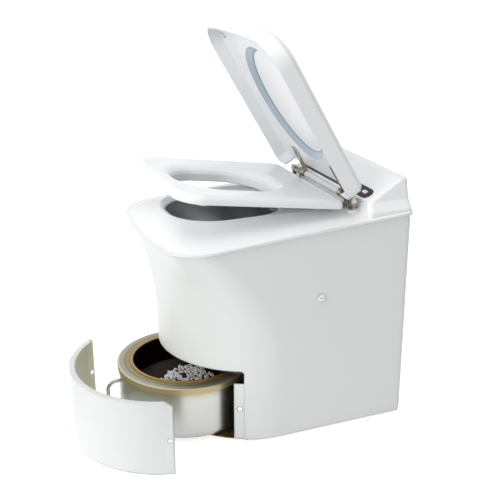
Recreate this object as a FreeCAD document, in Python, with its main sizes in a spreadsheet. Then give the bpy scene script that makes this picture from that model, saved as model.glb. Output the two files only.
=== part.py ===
import FreeCAD, Part
import math
import os
import types

import Sketcher

# Incinerating toilet, in millimetres. +Z is up, the front is towards -Y, and the origin is on the floor
# under the middle of the rear foot rail. The lid is open, the seat is raised, the ash pan is pulled out
# and the front cover stands in front of it.

Vector = FreeCAD.Vector
Rotation = FreeCAD.Rotation
Placement = FreeCAD.Placement

doc = FreeCAD.newDocument("incinerating_toilet")
sheet = doc.addObject("Spreadsheet::Sheet", "Sizes")

# Driving sizes: name, value in millimetres or degrees, what it is
DRIVING_SIZES = (
    ("rear_face", 40, "rear face of the cabinet behind the origin"),
    ("cabinet_width", 390, "outside width of the cabinet"),
    ("base_depth", 486, "cabinet depth at the base"),
    ("seam_height", 461, "top edge of the cabinet sheet at the rear, above the floor"),
    ("seam_fall", 34, "how much lower the cabinet's top edge is at the front"),
    ("ground_gap", 5, "bottom edge of the cabinet above the floor"),
    ("cabinet_sheet", 2, "sheet thickness of the cabinet and the front cover"),
    ("flare_start", 190, "height where the front begins to flare"),
    ("flare_reach", 36, "how far the flared front reaches forward at its top edge"),
    ("base_corner_radius", 150, "plan radius of the front corners at the base"),
    ("base_bow", 40, "run of the bowed front past the corner radius at the base"),
    ("top_corner_radius", 77, "plan radius of the front corners at the seam"),
    ("top_bow", 10, "run of the bowed front past the corner radius at the seam"),
    ("rear_corner_radius", 12, "plan radius of the rear corners"),
    ("cutout_height", 159, "height of the pan bay above the cabinet's bottom edge"),
    ("cutout_edge", 368, "side edge of the pan bay in front of the rear face"),
    ("cutout_fillet", 8, "radius of the pan bay's upper corners"),
    ("landing_reach", 18, "how far the landing strips stand out of the bay's edge"),
    ("landing_sheet", 1.5, "sheet thickness of the landing strips"),
    ("landing_height", 128, "height of the landing strips"),
    ("rail_length", 350, "length of a foot rail"),
    ("rail_width", 45, "width of a foot rail"),
    ("front_rail_depth", 340, "front foot rail in front of the rear face"),
    ("base_sheet", 1.5, "thickness of the base plate"),
    ("window_margin", 22, "rear wall left round the service window"),
    ("panel_sheet", 1.5, "thickness of the back panel"),
    ("panel_overlap", 12, "overlap of the back panel round the window"),
    ("screw_head_radius", 4, "head radius of the panel screws"),
    ("screw_head_height", 2.4, "head height of the panel screws"),
    ("lip_reach", 5, "how far the top cover's lip overhangs the cabinet"),
    ("lip_height", 5, "height of the top cover's lip"),
    ("deck_rise", 9, "deck's crest above the cabinet's rear top edge"),
    ("deck_thickness", 12, "thickness of the deck round the opening"),
    ("deck_setback", 1, "foot of the deck's slope inside the cabinet's outline"),
    ("crest_width", 4, "width of the deck's level crest round the opening"),
    ("console_setback", 6, "console's foot inside the cabinet's outline"),
    ("console_rise", 58, "top of the rear console above the deck"),
    ("console_wall", 4, "wall thickness of the console"),
    ("console_base_depth", 97, "front of the console at the deck, from the rear face"),
    ("console_knee_rise", 18, "knee in the console's front above the deck"),
    ("console_knee_depth", 92, "front of the console at the knee, from the rear face"),
    ("console_top_depth", 14, "front of the console's top, from the rear face"),
    ("console_knee_taper", 15, "how far each side of the console draws in up to the knee"),
    ("console_taper", 25, "how far each side of the console draws in up to the top"),
    ("console_round", 10, "corner radius of the console in plan"),
    ("opening_width", 200, "width of the deck opening at its lower edge"),
    ("opening_length", 230, "length of the deck opening at its lower edge"),
    ("opening_radius", 84, "corner radius of the deck opening at its lower edge"),
    ("opening_dish", 12, "how much wider each side is at the deck's surface"),
    ("bowl_depth", 345, "middle of the bowl in front of the rear face"),
    ("side_screw_depth", 205, "side screws in front of the rear face"),
    ("side_screw_height", 308, "side screws above the floor"),
    ("side_screw_radius", 9, "head radius of the side screws"),
    ("side_screw_head", 4, "head height of the side screws"),
    ("side_room", 47, "room beside the pan for its legs and insulation"),
    ("pan_height", 119, "height of the ash pan to the rim's flat"),
    ("pan_depth_in", 285, "middle of the pushed-in pan in front of the rear face"),
    ("pan_travel", 150, "how far the pan is pulled out"),
    ("pan_wall", 1.5, "wall thickness of the pan and its inner pot"),
    ("pan_round", 8, "bevel of the pan's bottom edge"),
    ("pan_rim_width", 32, "width of the pan's flat rim"),
    ("pan_rim_height", 4, "thickness of the flat rim"),
    ("pan_rim_skirt", 9, "height of the rim's outer band"),
    ("pan_band", 3, "how far the rim's band stands proud of the pot"),
    ("pan_lip", 2.5, "height of the rim's inner lip"),
    ("liner_floor", 9, "floor of the inner pot above the pan's floor"),
    ("ash_level", 52, "level of the ash at the inner pot's wall"),
    ("ash_crown", 34, "height of the ash's crown above that level"),
    ("handle_rod", 4, "radius of the pan handle's rod"),
    ("handle_reach", 30, "reach of the pan handle"),
    ("handle_high", 92, "upper leg of the handle above the pan's floor"),
    ("handle_low", 36, "lower leg of the handle above the pan's floor"),
    ("handle_bend", 18, "bend radius of the handle"),
    ("runner_height", 1.5, "height of the pan runners"),
    ("runner_width", 14, "width of a pan runner"),
    ("runner_spread", 190, "distance between the pan runners"),
    ("slide_gap", 0.3, "clearance between sliding faces"),
    ("chamber_gap", 2.5, "clearance between the pan's lip and the chamber plate"),
    ("chamber_sheet", 2, "sheet thickness of the chamber"),
    ("leg_width", 12, "width of a chamber leg"),
    ("leg_gap", 6, "clearance between the pan and the chamber legs"),
    ("leg_spread", 90, "distance between the legs along one side"),
    ("chute_height", 22, "height of the chute"),
    ("chute_throat", 76, "radius of the chute's lower end"),
    ("chute_mouth", 104, "radius of the chute's upper end"),
    ("element_rod", 4, "radius of the heating element's rod"),
    ("element_turn_radius", 92, "radius of the heating element's loops"),
    ("jaw_radius", 120, "inner radius of the bowl jaws"),
    ("jaw_sheet", 1.2, "sheet thickness of the jaws and the bowl frame"),
    ("jaw_half_length", 106, "half the inside length of the front jaw"),
    ("jaw_sector", 55, "angle that each jaw spans"),
    ("jaw_rest_angle", 30, "how far each jaw is open"),
    ("jaw_travel", 22, "how much further each jaw opens"),
    ("jaw_gap", 2, "clearance between the front jaw's cheek and the rear jaw's"),
    ("jaw_drop", 58, "jaw axis below the deck"),
    ("jaw_boss", 15, "radius of the jaws' pivot bosses"),
    ("pivot_radius", 6, "radius of the jaw pivot pins"),
    ("running_gap", 0.05, "radial clearance of a turning fit"),
    ("bracket_sheet", 2, "thickness of the jaw brackets"),
    ("seal_thickness", 2, "thickness of the bowl's gasket"),
    ("motor_radius", 21, "radius of the jaw gear motor"),
    ("motor_length", 46, "length of the jaw gear motor"),
    ("exhaust_radius", 55, "outside radius of the exhaust spigot"),
    ("exhaust_reach", 50, "how far the spigot stands out of the rear face"),
    ("exhaust_wall", 2, "wall thickness of the exhaust pieces"),
    ("exhaust_flange", 9, "width of the spigot's flange"),
    ("catalyst_length", 40, "length of the catalyst can"),
    ("impeller_radius", 48, "radius of the fan impeller"),
    ("impeller_width", 14, "width of the fan impeller"),
    ("fan_motor_radius", 20, "radius of the fan motor"),
    ("fan_shaft_radius", 3, "radius of the fan shaft"),
    ("box_width", 96, "width of the electronics box"),
    ("box_length", 104, "length of the electronics box"),
    ("box_height", 112, "height of the electronics box"),
    ("box_sheet", 1.5, "sheet thickness of the electronics box"),
    ("box_drop", 139, "underside of the electronics box below the cabinet's rear top edge"),
    ("gland_height", 62, "cable gland above the floor"),
    ("gland_side", 130, "cable gland to the side of the middle"),
    ("gland_radius", 11, "outside radius of the cable gland"),
    ("gland_bore", 4.5, "radius of the cable gland's bore"),
    ("fascia_width", 300, "width of the control panel"),
    ("fascia_height", 28, "height of the control panel along the slope"),
    ("fascia_rise", 19, "middle of the control panel above the knee, along the slope"),
    ("fascia_thickness", 2, "thickness of the control panel"),
    ("button_offset", 128, "start button to the side of the middle"),
    ("button_length", 17, "length of the start button"),
    ("button_width", 9, "width of the start button"),
    ("button_proud", 1.6, "how far the start button stands out of the panel"),
    ("button_travel", 1.5, "travel of the start button"),
    ("lens_offset", 100, "indicator lens to the side of the middle"),
    ("lens_radius", 2.2, "radius of the indicator lens"),
    ("hinge_depth", 110, "hinge axis in front of the rear face"),
    ("hinge_rise", 18, "hinge axis above the deck"),
    ("hinge_rod_radius", 4, "radius of the hinge rod"),
    ("knuckle_radius", 7.5, "radius of the hinge knuckles"),
    ("tube_length", 157, "length of the white hinge tube"),
    ("knuckle_length", 24, "length of a hinge knuckle"),
    ("knuckle_gap", 2, "clearance between neighbouring knuckles"),
    ("post_radius", 11, "radius of the hinge posts' base rings"),
    ("strap_sheet", 2, "thickness of the hinge straps"),
    ("strap_reach", 66, "reach of the hinge straps from the hinge axis"),
    ("seat_width", 330, "width of the seat"),
    ("seat_reach", 387, "front of the seat from the hinge axis"),
    ("seat_back", 32, "rear of the seat from the hinge axis"),
    ("seat_under", 14, "underside of the seat below the hinge axis"),
    ("seat_thickness", 18, "thickness of the seat"),
    ("seat_corner", 54, "plan radius of the seat's front corners"),
    ("seat_bow", 4, "run of the seat's bowed front past the corner radius"),
    ("seat_round", 11, "rounding of the seat's upper edge"),
    ("seat_hole_width", 188, "width of the seat's opening at its underside"),
    ("seat_hole_length", 208, "length of the seat's opening at its underside"),
    ("seat_hole_radius", 80, "corner radius of the seat's opening"),
    ("seat_dish", 18, "how much wider each side of the seat's opening is on top"),
    ("skirt_drop", 16, "how far the splash skirt hangs below the seat"),
    ("skirt_wall", 4, "wall thickness of the splash skirt"),
    ("seat_rest_angle", 8.5, "how far the seat is raised"),
    ("bumper_radius", 7, "radius of the bumpers"),
    ("lid_clearance", 7, "clearance between the seat and the lid's wall"),
    ("lid_wall", 3, "wall thickness of the lid"),
    ("lid_rim", 17, "lid's rim below the hinge axis"),
    ("lid_gap", 5, "clearance between the seat and the lid's liner"),
    ("lid_recess", 12, "depth of the oval recess in the liner"),
    ("lid_liner_sheet", 2, "sheet thickness of the lid's liner"),
    ("lid_shoulder", 14, "top of the lid's straight wall above the hinge axis"),
    ("lid_crown", 16, "height of the lid's dome above its straight wall"),
    ("lid_back", 22, "rear of the lid from the hinge axis"),
    ("recess_width", 236, "width of the oval recess at the liner's face"),
    ("recess_length", 284, "length of the oval recess at the liner's face"),
    ("recess_middle", 202, "middle of the recess from the hinge axis"),
    ("recess_slope", 18, "run of the recess's sloping wall"),
    ("lid_rest_angle", 59.5, "how far the lid is open"),
    ("cover_height", 157, "height of the front cover"),
    ("cover_ground_gap", 1, "front cover's lower edge above the floor"),
    ("cover_flange", 12, "width of the front cover's inward top flange"),
    ("cover_corner", 12, "radius of the front cover's upper corners"),
    ("cover_gap", 1.2, "clearance between the front cover and the bay's edge"),
    ("cover_relief", 0.5, "clearance between the front cover and what lies behind it"),
    ("cover_turn", 12.1, "how far the standing cover is turned"),
    ("cover_shift_x", 62, "sideways shift of the standing cover"),
    ("cover_shift_y", 207, "forward shift of the standing cover"),
    ("stud_radius", 5.5, "radius of the snap studs"),
    ("stud_height", 76, "snap studs above the floor"),
    ("stud_setback", 9, "snap studs in front of the bay's edge"),
    ("stud_length", 12, "length of a snap stud behind the landing strip"),
    ("stud_gap", 0.6, "clearance between a stud's tip and the front cover"),
)


class Size:
    """A size as a number, with the same sum written on the sheet's cells."""

    def __init__(self, number, text):
        self.number = number
        self.text = text

    def __add__(self, other):
        other = as_size(other)
        return Size(self.number + other.number, f"({self.text} + {other.text})")

    def __sub__(self, other):
        other = as_size(other)
        return Size(self.number - other.number, f"({self.text} - {other.text})")

    def __rsub__(self, other):
        return as_size(other) - self

    def __mul__(self, factor):
        factor = as_size(factor)
        return Size(self.number * factor.number, f"({self.text} * {factor.text})")

    def __truediv__(self, divisor):
        divisor = as_size(divisor)
        return Size(self.number / divisor.number, f"({self.text} / {divisor.text})")

    def __neg__(self):
        return Size(-self.number, f"(-1 * {self.text})")

    __radd__ = __add__
    __rmul__ = __mul__


def as_size(value):
    if isinstance(value, Size):
        return value
    return Size(float(value), f"({float(value)})")


def fill_sheet():
    """Writes the driving sizes into the sheet and returns them by name."""
    for row, (name, value, meaning) in enumerate(DRIVING_SIZES, start=1):
        sheet.set(f"A{row}", name)
        sheet.set(f"B{row}", str(value))
        sheet.setAlias(f"B{row}", name)
        sheet.set(f"C{row}", meaning)
    doc.recompute()
    named = {}
    for name, _, _ in DRIVING_SIZES:
        named[name] = Size(float(getattr(sheet, name)), f"Sizes.{name}")
    return types.SimpleNamespace(**named)


s = fill_sheet()

# Length of a hinge post's eye against a knuckle
EYE_SHARE = 0.6

# Places that several pieces share
half_width = s.cabinet_width / 2
base_front = s.rear_face - s.base_depth
bay_edge = s.rear_face - s.cutout_edge
bay_top = s.ground_gap + s.cutout_height
bowl_y = s.rear_face - s.bowl_depth
hinge_y = s.rear_face - s.hinge_depth
base_top = s.ground_gap + s.base_sheet
runner_top = base_top + s.runner_height
pan_floor = runner_top + s.slide_gap
pan_radius = half_width - s.side_room
pan_y = s.rear_face - s.pan_depth_in
pan_top = pan_floor + s.pan_height
front_seam = s.seam_height - s.seam_fall
deck_height = s.seam_height + s.deck_rise
deck_under = deck_height - s.deck_thickness
frame_top = deck_under - s.seal_thickness
hinge_height = deck_height + s.hinge_rise
box_bottom = s.seam_height - s.box_drop
jaw_z = deck_under - s.jaw_drop
jaw_bottom = jaw_z - s.jaw_radius - s.jaw_sheet
chamber_top = jaw_bottom - s.chamber_gap - s.chute_height
plate_bottom = pan_top + s.pan_lip + s.chamber_gap
plate_top = plate_bottom + s.chamber_sheet
chamber_wall_top = chamber_top - s.chamber_sheet
exhaust_z = (plate_top + chamber_wall_top) / 2
chamber_back = pan_y + pan_radius
post_x = s.tube_length / 2 + (s.knuckle_length + s.knuckle_gap) * 2 + s.knuckle_gap
post_eye = s.knuckle_length * EYE_SHARE

nodes = []


def keep(piece):
    """Marks a finished piece as a node of its own, named by its label."""
    nodes.append(piece)
    return piece


# Helpers for bound primitives

ALONG = {"x": Rotation(Vector(0, 1, 0), 90), "y": Rotation(Vector(1, 0, 0), -90), "z": Rotation()}


def bind(piece, **sizes):
    for prop, value in sizes.items():
        piece.setExpression(prop, as_size(value).text)
    return piece


def place(piece, x, y, z):
    for axis, value in zip("xyz", (x, y, z)):
        piece.setExpression(f"Placement.Base.{axis}", as_size(value).text)
    return piece


def block(name, x, y, z):
    """A box given by its lower and upper limit along each axis."""
    box = doc.addObject("Part::Box", name)
    limits = []
    for low, high in (x, y, z):
        limits.append((as_size(low), as_size(high)))
    bind(box, Length=limits[0][1] - limits[0][0])
    bind(box, Width=limits[1][1] - limits[1][0])
    bind(box, Height=limits[2][1] - limits[2][0])
    return place(box, limits[0][0], limits[1][0], limits[2][0])


def rod(name, radius, length, at, along="z"):
    """A cylinder that starts at a point and runs along one axis."""
    cylinder = doc.addObject("Part::Cylinder", name)
    cylinder.Placement = Placement(Vector(), ALONG[along])
    bind(cylinder, Radius=radius, Height=length)
    return place(cylinder, *at)


def fuse(name, *pieces):
    joined = doc.addObject("Part::MultiFuse", name)
    joined.Shapes = list(pieces)
    joined.Refine = True
    return joined


def cut(name, base, *tools):
    result = doc.addObject("Part::Cut", name)
    result.Base = base
    result.Tool = tools[0] if len(tools) == 1 else fuse(name + "_tools", *tools)
    result.Refine = True
    return result


def group(name, pieces):
    """Identical or paired pieces that share one node as separate solids."""
    compound = doc.addObject("Part::Compound", name)
    compound.Links = list(pieces)
    return compound


def shaped(name, shape):
    """A piece whose shape is worked out below from the sheet's sizes."""
    feature = doc.addObject("Part::Feature", name)
    feature.Shape = shape
    return feature


def origin_plane(body, role):
    for feature in body.Origin.OriginFeatures:
        if feature.Role == role:
            return feature
    raise RuntimeError(f"{body.Label} has no {role}")


def profile(body, plane, points):
    """A closed sketch of straight lines, with each corner bound to the sheet."""
    sketch = body.newObject("Sketcher::SketchObject", body.Name + "_profile")
    sketch.AttachmentSupport = (origin_plane(body, plane), [""])
    sketch.MapMode = "FlatFace"
    corners = []
    for across, up in points:
        corners.append((as_size(across), as_size(up)))
    count = len(corners)
    for index in range(count):
        start = corners[index]
        end = corners[(index + 1) % count]
        first = Vector(start[0].number, start[1].number, 0)
        second = Vector(end[0].number, end[1].number, 0)
        sketch.addGeometry(Part.LineSegment(first, second), False)
    for index in range(count):
        sketch.addConstraint(Sketcher.Constraint("Coincident", index, 2, (index + 1) % count, 1))
    for index, corner in enumerate(corners):
        for kind, value in zip(("DistanceX", "DistanceY"), corner):
            number = sketch.addConstraint(Sketcher.Constraint(kind, -1, 1, index, 1, value.number))
            sketch.setExpression(f"Constraints[{number}]", value.text)
    return sketch


def turned(name, points, at, turn=Rotation()):
    """A turned piece: a profile of (radius, height) corners revolved about its axis."""
    body = doc.addObject("PartDesign::Body", name)
    sketch = profile(body, "XZ_Plane", points)
    revolution = body.newObject("PartDesign::Revolution", name + "_turn")
    revolution.Profile = sketch
    revolution.ReferenceAxis = (sketch, ["V_Axis"])
    revolution.Angle = 360
    body.Placement = Placement(Vector(), turn)
    return place(body, *at)


# Outlines and lofts that the moulded and bent pieces are made of

# Largest share of a half width that a corner's radius or a bow may take up
CORNER_SHARE = 0.9
# The same for an outline that may be round all the way
ROUND_SHARE = 0.98
# An edge this near a plane lies in it
TOUCH = 0.01


def bowed_outline(half, rear, front, radius, bow, rear_radius, z):
    """Plan outline with straight sides, round front corners and a bowed front, at height z."""
    arcs = front_arcs(half, front, radius, bow)
    corner_x, corner_y, radius, front_centre, front_radius, angle = arcs
    meet = (front_radius * math.cos(angle), front_centre + front_radius * math.sin(angle))
    middle = (corner_x + radius * math.cos(angle / 2), corner_y + radius * math.sin(angle / 2))
    diagonal = rear_radius * (1 - math.sqrt(0.5))

    def at(x, y):
        return Vector(x, y, z)

    left_bulge = at(-half + diagonal, rear - diagonal)
    right_bulge = at(half - diagonal, rear - diagonal)
    edges = [
        Part.LineSegment(at(half - rear_radius, rear), at(-half + rear_radius, rear)),
        Part.Arc(at(-half + rear_radius, rear), left_bulge, at(-half, rear - rear_radius)),
        Part.LineSegment(at(-half, rear - rear_radius), at(-half, corner_y)),
        Part.Arc(at(-half, corner_y), at(-middle[0], middle[1]), at(-meet[0], meet[1])),
        Part.Arc(at(-meet[0], meet[1]), at(0, front), at(meet[0], meet[1])),
        Part.Arc(at(meet[0], meet[1]), at(middle[0], middle[1]), at(half, corner_y)),
        Part.LineSegment(at(half, corner_y), at(half, rear - rear_radius)),
        Part.Arc(at(half, rear - rear_radius), right_bulge, at(half - rear_radius, rear)),
    ]
    return Part.Wire([edge.toShape() for edge in edges])


def front_arcs(half, front, radius, bow):
    """Centres and radii of an outline's corner and front arcs, and the angle where they meet."""
    radius = min(radius, CORNER_SHARE * half)
    corner_x = half - radius
    bow = min(bow, CORNER_SHARE * corner_x)
    run = radius + bow
    corner_y = front + run
    front_radius = (run ** 2 + corner_x ** 2 - radius ** 2) / (2 * bow)
    front_centre = front + front_radius
    angle = math.atan2(corner_y - front_centre, corner_x)
    return corner_x, corner_y, radius, front_centre, front_radius, angle


def rounded_outline(half_x, half_y, radius, centre_y, z):
    """Rectangle with round corners, centred across the width, at height z."""
    radius = min(radius, ROUND_SHARE * half_x, ROUND_SHARE * half_y)
    diagonal = radius * (1 - math.sqrt(0.5))
    edges = []
    corners = ((1, 1), (-1, 1), (-1, -1), (1, -1))
    for index, (sign_x, sign_y) in enumerate(corners):
        along_x = sign_x == sign_y
        first = Vector(sign_x * half_x, centre_y + sign_y * (half_y - radius), z)
        second = Vector(sign_x * (half_x - radius), centre_y + sign_y * half_y, z)
        bulge = Vector(sign_x * (half_x - diagonal), centre_y + sign_y * (half_y - diagonal), z)
        start, end = (first, second) if along_x else (second, first)
        edges.append(Part.Arc(start, bulge, end).toShape())
        next_x, next_y = corners[(index + 1) % len(corners)]
        if along_x:
            target = Vector(next_x * (half_x - radius), centre_y + next_y * half_y, z)
        else:
            target = Vector(next_x * half_x, centre_y + next_y * (half_y - radius), z)
        edges.append(Part.LineSegment(end, target).toShape())
    return Part.Wire(edges)


def prism(outline, height):
    return Part.Face(outline).extrude(Vector(0, 0, height))


def solid_loft(outlines, ruled=False):
    return Part.makeLoft(outlines, True, ruled)


def sweep(path, section):
    """A solid drawn along a path of lines and arcs."""
    shell = Part.BRepOffsetAPI.MakePipeShell(Part.Wire(path))
    shell.add(section)
    shell.build()
    shell.makeSolid()
    return shell.shape()


def flare(z):
    """How far the flared front stands ahead of the base at height z."""
    rise = front_seam.number - s.flare_start.number
    reach = s.flare_reach.number
    radius = (rise ** 2 + reach ** 2) / (2 * reach)
    above = max(0.0, z - s.flare_start.number)
    return radius - math.sqrt(radius ** 2 - above ** 2)


# Least bow of an outline above the front edge, where the sheet is cut away, as a share of the bow at the seam
LEAST_BOW = 0.05


def cabinet_outline(z, inset, section_z=None):
    """The cabinet's outline at height z, moved inwards by an inset."""
    share = flare(z) / s.flare_reach.number
    tightening = s.top_corner_radius.number - s.base_corner_radius.number
    radius = s.base_corner_radius.number + share * tightening
    bow = s.base_bow.number + share * (s.top_bow.number - s.base_bow.number)
    bow = max(bow, LEAST_BOW * s.top_bow.number)
    half = half_width.number - inset
    return bowed_outline(
        half,
        s.rear_face.number - inset,
        base_front.number - flare(z) + inset,
        min(radius, CORNER_SHARE * half_width.number) - inset,
        bow,
        max(1.0, s.rear_corner_radius.number - inset),
        z if section_z is None else section_z,
    )


FLARE_SECTIONS = 6


def cabinet_solid(inset, bottom, top):
    """The cabinet's outer form between two heights, moved inwards by an inset."""
    start = s.flare_start.number
    lower = prism(cabinet_outline(bottom, inset), start - bottom)
    outlines = []
    for index in range(FLARE_SECTIONS):
        z = start + (top - start) * index / (FLARE_SECTIONS - 1)
        outlines.append(cabinet_outline(z, inset))
    return lower.fuse(solid_loft(outlines)).removeSplitter()


def seam_slope():
    """Fall of the cabinet's top edge along its depth."""
    return s.seam_fall.number / (s.base_depth.number + s.flare_reach.number)


def seam_at(y):
    """Height of the cabinet's sloping top edge at a place along its depth."""
    return s.seam_height.number - seam_slope() * (s.rear_face.number - y)


def beyond_seam(side):
    """All the room above the sloping top edge (side 1) or below it (side -1)."""
    size = 2 * s.base_depth.number
    corners = []
    for y in (-size, size):
        corners.append(Vector(-size, y, seam_at(y)))
    for y in (size, -size):
        corners.append(Vector(-size, y, seam_at(y) + side * size))
    corners.append(corners[0])
    return Part.Face(Part.makePolygon(corners)).extrude(Vector(2 * size, 0, 0))


def tilted(outline, slope, at_rear):
    """An outline at height 0, laid on a plane that falls to the front from a height at the rear."""
    matrix = FreeCAD.Matrix()
    matrix.A32 = slope
    matrix.A34 = at_rear - slope * s.rear_face.number
    return Part.Wire(outline.transformGeometry(matrix).Edges)


def limits_box(x, y, z):
    """A plain box between numbers, for cutting."""
    return Part.makeBox(x[1] - x[0], y[1] - y[0], z[1] - z[0], Vector(x[0], y[0], z[0]))


# Cabinet


def cabinet_shell():
    wall = s.cabinet_sheet.number
    low = s.ground_gap.number
    high = s.seam_height.number
    shell = cabinet_solid(0, low, high).cut(cabinet_solid(wall, low, high)).cut(beyond_seam(1))
    wide = s.cabinet_width.number
    margin = s.window_margin.number
    rear = s.rear_face.number
    window = limits_box(
        (-wide / 2 + margin, wide / 2 - margin),
        (rear - 2 * wall, rear + wall),
        (low + margin, high - margin),
    )
    far_front = base_front.number - s.base_depth.number
    bay = limits_box((-wide, wide), (far_front, bay_edge.number), (low - wall, bay_top.number))
    edges = [edge for edge in bay.Edges if is_bay_corner(edge)]
    bay = bay.makeFillet(s.cutout_fillet.number, edges)
    shell = shell.cut(window).cut(bay)
    for side in (-1, 1):
        shell = shell.cut(side_screw_hole(side))
    return keep(shaped("cabinet_shell", shell))


def is_bay_corner(edge):
    """True for the bay's upper rear edge, which runs across the cabinet."""
    centre = edge.CenterOfMass
    level = abs(centre.z - bay_top.number) < TOUCH
    return level and abs(centre.y - bay_edge.number) < TOUCH


# Shares of the cap screw's head that its shank, rounded top and slot take up
SCREW_SHANK = 0.5
SCREW_SHOULDER = 0.5
SCREW_TOP = 0.78
SLOT_HALF_WIDTH = 0.2
SLOT_HALF_LENGTH = 0.6


def side_screw_hole(side):
    wall = s.cabinet_sheet.number
    radius = s.side_screw_radius.number * SCREW_SHANK
    depth = (s.rear_face - s.side_screw_depth).number
    start = Vector(side * (half_width.number - 2 * wall), depth, s.side_screw_height.number)
    return Part.makeCylinder(radius, 4 * wall, start, Vector(side, 0, 0))


def side_screws():
    """Cap screws with a slot, through the cabinet's sides into the chamber's stays."""
    screws = []
    depth = s.rear_face - s.side_screw_depth
    for label, side in (("left", -1), ("right", 1)):
        turn = Rotation(Vector(0, 1, 0), 90 * side)
        shank = s.side_screw_radius * SCREW_SHANK - s.slide_gap
        shank_length = s.cabinet_sheet + s.side_screw_head
        points = [
            (0, -shank_length),
            (shank, -shank_length),
            (shank, 0),
            (s.side_screw_radius, 0),
            (s.side_screw_radius, s.side_screw_head * SCREW_SHOULDER),
            (s.side_screw_radius * SCREW_TOP, s.side_screw_head),
            (0, s.side_screw_head),
        ]
        head = turned(f"{label}_side_screw", points, (half_width * side, depth, s.side_screw_height), turn)
        slot_half = s.side_screw_head * SLOT_HALF_WIDTH
        slot_reach = s.side_screw_radius * SLOT_HALF_LENGTH
        inner = (half_width + s.side_screw_head * SCREW_SHOULDER) * side
        outer = (half_width + s.side_screw_head * 2) * side
        across = (inner, outer) if side > 0 else (outer, inner)
        slot = block(
            f"{label}_screw_slot",
            across,
            (depth - slot_reach, depth + slot_reach),
            (s.side_screw_height - slot_half, s.side_screw_height + slot_half),
        )
        screws.append(cut(f"{label}_slotted_screw", head, slot))
    return keep(group("side_screws", screws))


def base_plate():
    inset = s.cabinet_sheet.number + s.cover_relief.number
    outline = cabinet_outline(s.ground_gap.number, inset)
    return keep(shaped("base_plate", prism(outline, s.base_sheet.number)))


def foot_rails():
    rails = []
    for label, y in (("rear", as_size(0)), ("front", s.rear_face - s.front_rail_depth)):
        half = s.rail_width / 2
        across = (-s.rail_length / 2, s.rail_length / 2)
        rails.append(block(f"{label}_rail", across, (y - half, y + half), (0, s.ground_gap)))
    return keep(group("foot_rails", rails))


def landing_strips():
    """Joggled strips inside the bay's two side edges, which the front cover lies over."""
    sheet_in = s.cabinet_sheet.number
    joggle = sheet_in + s.cover_relief.number
    high = s.landing_height.number
    outer = cabinet_outline(base_top.number, sheet_in)
    step = cabinet_outline(base_top.number, joggle)
    inner = cabinet_outline(base_top.number, joggle + s.landing_sheet.number)
    ring = prism(outer, high).cut(prism(inner, high))
    raised = prism(outer, high).cut(prism(step, high))
    reach = s.landing_reach.number
    edge = bay_edge.number
    wide = s.cabinet_width.number
    span = limits_box((-wide, wide), (edge - reach, edge + reach), (0, s.seam_height.number))
    ahead = limits_box((-wide, wide), (edge - 2 * reach, edge), (0, s.seam_height.number))
    strips = ring.common(span).cut(raised.common(ahead))
    for side in (-1, 1):
        point, normal = stud_seat(side)
        hole_radius = s.stud_radius.number + s.slide_gap.number
        through = s.stud_length.number
        hole = Part.makeCylinder(hole_radius, 2 * through, point - normal * through, normal)
        strips = strips.cut(hole)
    return keep(shaped("landing_strips", strips))


def stud_seat(side):
    """Where a snap stud's axis meets the cabinet's outer face, and the outward normal there."""
    arcs = front_arcs(half_width.number, base_front.number, s.base_corner_radius.number, s.base_bow.number)
    corner_x, corner_y, radius, front_centre, front_radius, angle = arcs
    y = bay_edge.number - s.stud_setback.number
    if y < corner_y + radius * math.sin(angle):
        corner_x, corner_y, radius = 0.0, front_centre, front_radius
    sink = max(0.0, corner_y - y)
    out = math.sqrt(radius ** 2 - sink ** 2)
    normal = Vector(side * out / radius, -sink / radius, 0)
    return Vector(side * (corner_x + out), y, s.stud_height.number), normal


# Round of a stud's nose and length of its guiding sleeve, as shares of the stud's radius and length
STUD_NOSE = 0.3
SLEEVE_SHARE = 0.5
# Room left between a sleeve and the landing strip's bend
SLEEVE_GAP = 0.03


def snap_stud(label, side):
    """A round-nosed stud that stands behind the front cover's hole."""
    point, normal = stud_seat(side)
    radius = s.stud_radius.number
    tip = point - normal * (s.cabinet_sheet.number + s.stud_gap.number)
    body = Part.makeCylinder(radius, s.stud_length.number, tip - normal * s.stud_length.number, normal)
    rim = [edge for edge in body.Edges if edge.Closed and (edge.CenterOfMass - tip).Length < TOUCH]
    return keep(shaped(f"{label}_stud", body.makeFillet(radius * STUD_NOSE, rim)))


def stud_brackets():
    """Sleeves on the back of the landing strips that guide the studs."""
    brackets = []
    behind = s.cabinet_sheet.number + s.cover_relief.number + s.landing_sheet.number
    depth = s.stud_length.number * SLEEVE_SHARE
    for side in (-1, 1):
        point, normal = stud_seat(side)
        radius = s.stud_radius.number + s.landing_sheet.number
        bend = radius ** 2 / (2 * s.base_corner_radius.number) + SLEEVE_GAP
        start = point - normal * (behind + bend + depth)
        sleeve = Part.makeCylinder(radius, depth, start, normal)
        bore = Part.makeCylinder(s.stud_radius.number + s.slide_gap.number, depth, start, normal)
        brackets.append(sleeve.cut(bore))
    return keep(shaped("stud_brackets", Part.makeCompound(brackets)))


# The gland's neck, tip and length, as shares of its radius
GLAND_NECK = 0.7
GLAND_TIP = 0.75
GLAND_LENGTH = 1.4


def back_panel():
    """Service panel over the rear window, with the hole for the exhaust and the cable gland."""
    edge = s.window_margin - s.panel_overlap
    rear = s.rear_face
    plate = block(
        "panel_plate",
        (-half_width + edge, half_width - edge),
        (rear, rear + s.panel_sheet),
        (s.ground_gap + edge, s.seam_height - edge),
    )
    through = s.panel_sheet * 3
    inside = rear - s.panel_sheet
    exhaust_hole = s.exhaust_radius + s.slide_gap
    gland_hole = s.gland_radius * GLAND_NECK
    exhaust = rod("panel_exhaust_hole", exhaust_hole, through, (0, inside, exhaust_z), "y")
    gland = rod("panel_gland_hole", gland_hole, through, (-s.gland_side, inside, s.gland_height), "y")
    return keep(cut("back_panel", plate, exhaust, gland))


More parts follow.
